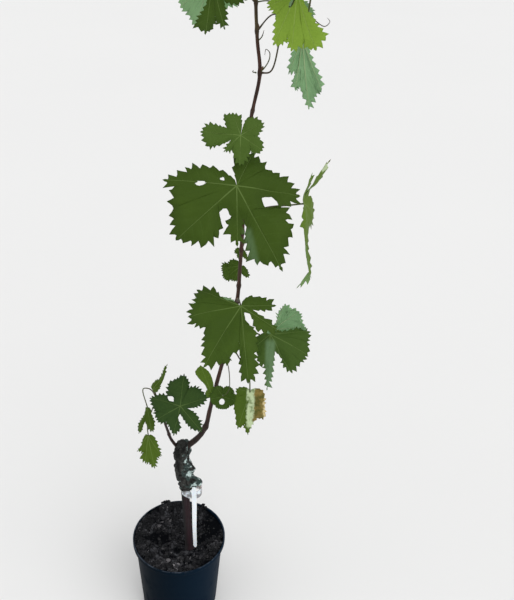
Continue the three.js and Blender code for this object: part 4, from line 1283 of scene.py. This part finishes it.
# Each blade hangs at a place from a limb's node, its stalk going by way of the points in via, and
# its upper side faces a bearing and a tilt up. A lobe is its angle, its length, its left and right
# side and how long drawn its point is. A side is a half width, or the places that the margin runs
# through from notch to tip. A notch or a place is an angle and a distance from the stalk.
# The dome is the sag 100 mm out, teeth is how large they are, and the tone is the share of
# yellow, the share of blue and how light the ground is. The rolls are as in roll, the holes as in
# pierced, and the scorch and the pale strips as in blemishes.
LEAVES = [
    dict(limb=side_shoot, node=448, at=[-38, -34, 394], face=[-10, 35], dome=3,
         via=[[-26, -30, 450], [-37, -38, 418]],
         lobes=[[-27, 28, [[-60, 7], [-36, 13], [-24, 19]], [[-13, 25]], 0.1],
                [4, 39, [[-10, 33]], [[10, 39]], 0.1],
                [21, 47, [[15, 43]], [[27, 40]], 0.1],
                [43, 34, [[36, 34]], [[86, 10], [56, 20]], 0.1]],
         notches=[[-110, 4], [-5, 25], [13, 37], [31, 34], [120, 4]],
         tone=(0.3, 0.0, 0.1), teeth=1.1),
    dict(limb=side_shoot, node=462, at=[-36, -42, 452], face=[-35, 30], dome=3,
         via=[[-30, -44, 486], [-40, -43, 486]],
         lobes=[[-1, 39, [[-6, 12], [-9, 21], [-9, 31]], [[9, 26], [6, 33]], 0.1],
                [42, 34, [[26, 24], [33, 31]], [[95, 7], [63, 12], [60, 22], [51, 30]], 0.1]],
         notches=[[-90, 3], [17, 19], [130, 3]],
         tone=(0.2, 0.0, 0.0), teeth=0.8),
    dict(limb=side_shoot, node=478, at=[-25, -56, 494], face=[-60, 30], dome=2,
         via=[],
         lobes=[[-210, 15, 5, 4, 0.3], [-180, 42, 5, 5, 0.4], [-150, 16, 4, 5, 0.3]],
         notches=[[-260, 4], [-198, 11], [-165, 11], [-100, 4]],
         tone=(0.2, 0.0, 0.3)),
    dict(limb=side_shoot, node=432, at=[15, -85, 494], face=[-10, 50], dome=5,
         lobes=[[-174, 43, [[-187, 34]],
                 [[-129, 14], [-129, 19], [-120, 25], [-133, 30], [-142, 36], [-156, 37]], 0.1],
                [-96, 44, [[-107, 14], [-108, 19], [-117, 25], [-109, 33]], [[-76, 36]], 0.1],
                [-50, 35, 8, 7, 0.1],
                [-2, 38, [[-15, 31]], [[-2, 15], [7, 21], [11, 30]], 0.1],
                [51, 44, [[23, 16], [31, 24], [39, 34]], [[76, 21], [63, 34]], 0.1],
                [117, 37, [[94, 20], [105, 29]], [[153, 32], [138, 34]], 0.1]],
         notches=[[-194, 26], [-114, 11], [-66, 32], [-33, 27], [9, 10], [83, 10], [166, 26]],
         tone=(0.02, 0.5, 0.4)),
    dict(limb=shoot, node=450, at=[54, -34, 471], face=[0, 40], dome=2,
         lobes=[[-196, 13, 5, 5, 0.1],
                [-155, 47, [[-177, 20], [-168, 34]], [[-142, 20], [-139, 32], [-141, 42]], 0.05],
                [-115, 12, 5, 5, 0.1]],
         notches=[[-225, 4], [-182, 12], [-137, 12], [-70, 4]],
         tone=(0.4, 0.1, 0.9), teeth=0.15),
    dict(limb=shoot, node=528, at=[68, -38, 475], face=[0, 45], dome=4,
         via=[[75, -36, 520], [76, -42, 490]],
         lobes=[[-144, 17, 7, 7, 0.05], [-76, 18, 7, 7, 0.05], [0, 17, 8, 8, 0.05],
                [76, 19, 7, 7, 0.05], [144, 17, 7, 7, 0.05]],
         notches=[[-179, 3], [-112, 15], [-38, 15], [38, 15], [112, 15], [179, 3]],
         tone=(0.12, 0.3, 0.95), teeth=0.4, holes=[[-8, 7, 4, 3.6, 0]]),
    dict(limb=shoot, node=560, at=[105, -70, 511], face=[0, 20], dome=3,
         via=[[84, -50, 560], [102, -66, 536]],
         lobes=[[-100, 19, [[-130, 10]], [[-80, 18]], 0.1],
                [-15, 54, [[-41, 31], [-27, 39], [-20, 48]], [[-9, 49]], 0.1],
                [0, 61, [[-4, 54]], [[3, 52]], 0.15],
                [27, 42, [[17, 39]], [[36, 37]], 0.1],
                [100, 17, [[66, 22], [82, 19]], [[125, 10]], 0.1]],
         notches=[[-160, 4], [-66, 20], [-6, 46], [9, 43], [50, 26], [160, 4]],
         tone=(0.2, 0.0, 0.45), scorch=(90, -6, 46), teeth=0.6),
    dict(limb=shoot, node=566, at=[127, -55, 594], face=[15, 50], dome=5,
         lobes=[[-58, 30, 8, 7, 0.1],
                [-12, 71, [[-36, 34], [-28, 41], [-23, 40], [-18.5, 39], [-16, 47], [-14, 58]],
                 [[2, 32], [-4, 47], [-7, 58]], 0.1],
                [22, 55, [[21, 33], [17, 43]], 6, 0.15],
                [56, 55, 8, 7, 0.1],
                [88, 52, 7, [[97, 20], [95, 43]], 0.1]],
         notches=[[-115, 5], [-46, 27], [10, 22], [42, 52], [73, 49], [150, 5]],
         tone=(0.1, 0.4, 1.0), pale=[[-8, 8, 70, 6, 1]]),
    dict(limb=shoot, node=545, at=[131, -30, 585], face=[170, 15], dome=4,
         lobes=[[-164, 54, [[-166, 16], [-169, 34]], 8, 0.1], [-143, 55, 8, 8, 0.1],
                [-114, 47, 8, 8, 0.1], [-60, 28, 9, 9, 0.15], [20, 28, 9, 9, 0.15]],
         notches=[[150, 6], [-155, 46], [-128, 43], [-88, 24], [-20, 14], [100, 6]],
         tone=(0.0, 0.3, 0.6)),
    dict(limb=shoot, node=614, at=[89, -75, 647], face=[-5, 48], dome=6,
         lobes=[[-106, 58, [[-109, 25], [-118, 41]], 9, 0.1],
                [-73, 64, 9, [[-62, 61]], 0.1],
                [-25, 85, [[-43, 60], [-34, 70]], [[-11, 73], [-2, 68]], 0.1],
                [12, 92, [[7, 66], [6.5, 78], [7, 87]],
                 [[25, 14], [28, 24], [36, 34], [29, 50], [23, 63], [21, 77], [17, 88]], 0.1],
                [63, 55, [[52, 13], [47, 22], [38, 32], [50, 44]], [[72, 24], [70, 38]], 0.1],
                [98, 41, [[84, 23], [89, 34]], [[150, 15], [127, 22], [112, 34]], 0.1]],
         notches=[[-120, 10], [-88, 55], [-53, 50], [4.5, 54], [33, 9], [79, 15], [172, 6]],
         tone=(0.12, 0.1, 0.4)),
    dict(limb=shoot, node=560, at=[51, 48, 577], face=[175, 30], **plain_leaf(46)),
    dict(limb=shoot, node=638, at=[84, 15, 652], face=[-10, 45], dome=3,
         lobes=[[-100, 17, 6, 6, 0.1], [-74, 25, 7, 7, 0.1], [-40, 27, 7, 6, 0.1],
                [-12, 22, 6, 5, 0.15], [45, 19, 4, 4, 0.2]],
         notches=[[-150, 5], [-88, 16], [-58, 22], [-30, 17], [15, 8], [110, 4]],
         tone=(0.15, 0.1, 0.6)),
    dict(limb=shoot, node=700, at=[83, 14, 678], face=[0, 30], dome=1,
         lobes=[[-50, 9, 3, 3, 0.2], [2, 14, 4, 3, 0.25], [38, 17, 3, 3, 0.25]],
         notches=[[-120, 3], [-22, 6], [20, 7], [110, 3]],
         tone=(0.2, 0.0, 0.3)),
    dict(limb=shoot, node=735, at=[160, 0, 752], face=[80, 14], dome=5,
         lobes=[[-166, 44, 8, 8, 0.2], [-50, 56, 14, 13, 0.2], [-4, 124, 12, 13, 0.3],
                [48, 60, 13, 14, 0.2], [158, 62, 9, 9, 0.3]],
         notches=[[-188, 9], [-105, 14], [-26, 34], [22, 38], [100, 16], [172, 9]],
         rolls=[[-90, 3, 14, 10], [90, 3, 14, 8], [0, 90, 12, -50], [-140, 10, 7, -32],
                [180, 3, 16, 62]],
         tone=(0.5, 0.1, 0.3), scorch=(180, 42, 90)),
    dict(limb=shoot, node=715, at=[31, 52, 732], face=[185, 35],
         via=[[82, 10, 738], [50, 42, 757]], **plain_leaf(42)),
    dict(limb=shoot, node=775, at=[80, -95, 812], face=[5, 38], dome=6,
         lobes=[[-95, 79, [[-141, 20], [-127, 34], [-113, 52], [-103, 62]],
                 [[-78, 71], [-86, 69]], 0.3],
                [-48, 86, 9, [[-31, 29], [-33, 34], [-30, 38], [-23, 45], [-20, 53], [-26, 69],
                              [-38, 77]], 0.1],
                [1, 63, [[-17, 29], [-13, 32], [-11, 36], [-15, 41], [-11, 50], [-5, 57]],
                 [[9, 46], [6, 55]], 0.2],
                [28, 102, [[13, 42], [12, 50], [10, 57], [9.5, 66], [10, 73], [12, 81], [18, 88],
                           [24, 91]],
                 [[54, 36], [55, 42], [60, 48], [66, 55], [63, 63], [54, 67], [53, 75], [43, 81]],
                 0.1],
                [83, 69, [[70, 33], [73, 37], [72, 44], [67.5, 52], [70, 59], [76, 65]],
                 [[110, 46], [98, 57]], 0.1],
                [154, 42, [[136, 39]], [[190, 21], [175, 37]], 0.1]],
         notches=[[-165, 7], [-70, 72], [-24, 27], [11, 35], [65, 30], [122, 37], [187, 6]],
         tone=(0.12, 0.0, 0.2), holes=[[-93, 39, 5, 2.6, -80], [-115, 17, 2.2, 1.6, -100]],
         pale=[[13, 48, 90, 4.5, 0.55]]),
    dict(limb=shoot, node=690, at=[110, 58, 708], face=[170, 35], **plain_leaf(38)),
    dict(limb=shoot, node=826, at=[82, -80, 863], face=[0, 35], dome=4,
         lobes=[[-158, 25, [[-178, 20]], [[-128, 22], [-135, 27]], 0.1],
                [-92, 42, [[-112, 25], [-107, 36]], [[-63, 24], [-69, 37]], 0.1],
                [-44, 24, [[-57, 15], [-52, 19]], [[-36, 21]], 0.1],
                [1, 31, [[-21, 20], [-12, 25]], [[16, 27]], 0.1],
                [57, 28, 7, 6, 0.1],
                [122, 28, [[104, 22]], [[162, 19], [141, 25]], 0.1]],
         notches=[[-186, 9], [-116, 17], [-63, 11], [-30, 18], [38, 19], [88, 18], [170, 8]],
         tone=(0.2, 0.4, 1.1), teeth=0.95),
    dict(limb=shoot, node=1012, at=[144, 25, 940], face=[175, 12], dome=4,
         via=[[112, 6, 1046], [148, 24, 1000]],
         lobes=[[-25, 61, [[-33, 22], [-31, 45], [-28, 57]], [[-21, 63]], 0.1],
                [-9, 83, [[-15, 72]], [[-5, 68], [-3, 60]], 0.15],
                [4, 58, [[1, 55]], [[9, 43], [9, 52]], 0.1],
                [19, 40, [[12, 37]], [[60, 8], [37, 17], [25, 31]], 0.1]],
         notches=[[-125, 4], [-19, 64], [-1, 53], [6, 36], [130, 4]],
         tone=(0.0, 0.4, 0.7), teeth=0.8),
    dict(limb=shoot, node=911, at=[133, -20, 996], face=[10, 35], dome=5,
         via=[[110, -16, 914], [120, -28, 960]],
         lobes=[[-66, 33, [[-130, 11], [-95, 25]], [[-52, 31]], 0.1],
                [-27, 57, [[-38, 40], [-30, 51]], [[-19, 54]], 0.1],
                [-7, 57, [[-11, 52]], [[0, 54]], 0.1],
                [17, 60, [[11, 56]], [[42, 11], [37, 21], [35, 38], [34, 52], [27, 56]], 0.1],
                [112, 36, [[82, 12], [93, 24]], 12, 0.2]],
         notches=[[-160, 6], [-46, 31], [-14, 45], [7, 50], [62, 7], [168, 6]],
         tone=(1.0, 0.0, 1.0), holes=[[-31, 11, 6, 1.9, -31]]),
    dict(limb=shoot, node=955, at=[138, 60, 971], face=[165, 35], dome=4,
         lobes=[[-104, 13, 6, 6, 0.15], [-50, 22, 7, 7, 0.2], [0, 42, 9, 11, 0.25],
                [50, 35, 10, 11, 0.2], [104, 27, 10, 10, 0.15]],
         notches=[[-168, 5], [-76, 9], [-25, 17], [25, 24], [76, 20], [168, 5]]),
    dict(limb=shoot, node=1026, at=[44, 2, 1005], face=[165, 12], dome=4,
         via=[[78, 4, 1050], [46, 6, 1040]],
         lobes=[[-50, 38, 12, 12, 0.2], [22, 61, [[4, 40], [12, 52]], [[28, 57]], 0.1],
                [47, 51, [[40, 51]], [[70, 34], [60, 43]], 0.1], [110, 34, 12, 12, 0.2]],
         notches=[[-120, 6], [-14, 26], [32, 53], [76, 26], [170, 6]],
         tone=(0.1, 0.4, 1.2)),
    dict(limb=shoot, node=984, at=[47, -30, 1007], face=[10, 35], dome=4,
         lobes=[[-95, 46, 14, 14, 0.2],
                [-10, 56, [[-18, 21], [-20, 30], [-22, 40], [-23, 50]], [[-5, 54], [-2, 48]], 0.1],
                [11, 51, [[4, 44]], [[26, 26], [23, 34], [16, 43]], 0.1],
                [62, 38, 11, 11, 0.2], [125, 30, 12, 12, 0.2]],
         notches=[[-165, 6], [-34, 13], [2, 41], [30, 21], [92, 20], [170, 6]],
         tone=(0.12, 0.1, 0.3)),
    dict(limb=shoot, node=1046, at=[138, -52, 1066], face=[35, 32], **plain_leaf(56)),
    dict(limb=shoot, node=1066, at=[42, -48, 1086], face=[-35, 35], **plain_leaf(52)),
    dict(limb=shoot, node=1078, at=[146, 48, 1092], face=[140, 38], **plain_leaf(50)),
    dict(limb=shoot, node=1100, at=[52, 50, 1112], face=[215, 38], **plain_leaf(44)),
    dict(limb=shoot, node=1134, at=[128, -18, 1150], face=[60, 45], **plain_leaf(34)),
    dict(limb=shoot, node=1150, at=[66, -20, 1166], face=[-45, 45], **plain_leaf(28)),
    dict(limb=shoot, node=1170, at=[108, 22, 1182], face=[150, 50], **plain_leaf(22)),
    dict(limb=shoot, node=1190, at=[84, -8, 1202], face=[-20, 55], **plain_leaf(16)),
]

leaf_finishes = [upper_finish(), under_finish(), stalk_finish()]
for number, leaf in enumerate(LEAVES, 1):
    make_leaf(number, leaf, leaf_finishes)

# ---------------------------------------------------------------- buds
# A plump brown bud stands in the crook of each leaf stalk, with two scales round its foot and a
# paler woolly tip.

BUD = {"length": 5.2, "radius": 1.9, "stations": 14, "sides": 14}
BUDS_ACROSS_MAP = 6


def limb_frame(limb, node):
    """The limb's own place and radius at a height, and the way it runs there."""
    t = limb.at_height(node)
    before, here, after = limb.point(np.clip([t - 0.004, t, t + 0.004], 0, 1))
    way = (after - before) / np.linalg.norm(after - before)
    return here, float(limb.radius(t)), way


def bud_finish():
    bud = Finish("bud_scales", roughness=0.6, specular_ior_level=0.25)
    fibre = bud.noise(700, 3.0, 0.6, stretch=(1, 1, 0.3))
    tip = bud.mark("along").step(0.5, 0.95)
    scale = (fibre * 0.6 + 0.2).blend((0.05, 0.018, 0.012), (0.13, 0.06, 0.03))
    bud.colour((tip * 0.7).blend(scale, (0.24, 0.19, 0.11)))
    bud.bump(fibre, 0.0004, 0.6)
    return bud


def make_buds():
    shape = Shape()
    for index, leaf in enumerate(LEAVES):
        here, radius, way = limb_frame(leaf["limb"], leaf["node"])
        out = np.array(leaf["at"], float) - here
        out -= way * out.dot(way)
        out /= np.linalg.norm(out)
        size = min(1.0, 0.35 + radius / 3)
        share = np.linspace(0, 1, BUD["stations"])
        root = here + out * (radius * 0.55) + way * (1.6 + radius * 0.5)
        aim = way * 0.85 + out * 0.55
        course = share[:, None] * aim + (share ** 2)[:, None] * (way - out) * 0.12
        swell = np.sin(math.pi * np.clip(share * 0.86 + 0.12, 0, 1)) ** 0.75
        scales = 1 + 0.12 * smooth(0.42, 0.36, share) + 0.08 * smooth(0.7, 0.64, share)
        radii = BUD["radius"] * size * swell * scales * 0.86
        rows = tube(root + course * BUD["length"] * size, radii, BUD["sides"])
        low, left = (place / BUDS_ACROSS_MAP for place in divmod(index, BUDS_ACROSS_MAP))
        shape.grid(rows, area=(left, low, left + 0.16, low + 0.16),
                   along=share[:, None] + 0 * rows[..., 0])
    shape.make("buds", [bud_finish()], ())


make_buds()

# ---------------------------------------------------------------- tendrils
# Thin wiry tendrils, green turning brown, most of them curled at their ends, where they have
# found nothing to hold.

TENDRIL_SIDES, TENDRIL_RING_GAP = 10, 1.1
TENDRILS = [
    [(94, -12, 911), (92, -22, 914), (91, -34, 918), (92, -40, 921)],
    [(98, -12, 911), (103, -15, 917), (108, -17, 927), (108, -18, 935), (104, -18, 938),
     (103, -19, 932)],
    [(95, -12, 945), (99, -14, 950), (101, -15, 957)],
    [(91, -10, 984), (104, 0, 984), (126, 8, 978), (150, 8, 968), (166, 4, 960), (171, 0, 966),
     (168, -2, 970)],
    [(72, -12, 545), (62, -2, 556), (50, 4, 566), (40, 3, 580), (36, -3, 592)],
    [(95, -6, 1046), (104, -10, 1060), (116, -12, 1076), (122, -10, 1092), (118, -6, 1100),
     (113, -10, 1094)],
    [(92, 0, 1150), (84, 8, 1160), (76, 14, 1174), (72, 14, 1188), (77, 12, 1194)],
    [(95, 5, 1204), (100, 8, 1209), (103, 9, 1210)],
]


def tendril_finish():
    tendril = Finish("tendril", roughness=0.5, specular_ior_level=0.3)
    streak = tendril.noise(260, 3.0, 0.6)
    dry = (tendril.mark("along") + streak * 0.6 - 0.3).step(0.3, 0.9)
    tendril.colour(dry.blend((0.06, 0.07, 0.02), (0.04, 0.022, 0.014)))
    tendril.bump(streak, 0.0002, 0.5)
    return tendril


def make_tendrils():
    shape = Shape()
    for index, stations in enumerate(TENDRILS):
        line = Limb([(*place, 1.0) for place in stations])
        length = np.linalg.norm(np.diff(line.line, axis=0), axis=1).sum()
        t = np.linspace(0, 1, max(14, int(length / TENDRIL_RING_GAP)))
        radii = np.interp(t, [0, 0.06, 0.6, 1], [1.0, 0.75, 0.55, 0.22])
        rows = tube(line.point(t), radii, TENDRIL_SIDES)
        low, high = index / len(TENDRILS), (index + 0.9) / len(TENDRILS)
        shape.grid(rows, area=(0, low, 1, high), lying=True, along=t[:, None] + 0 * rows[..., 0])
    shape.make("tendrils", [tendril_finish()], ())


make_tendrils()
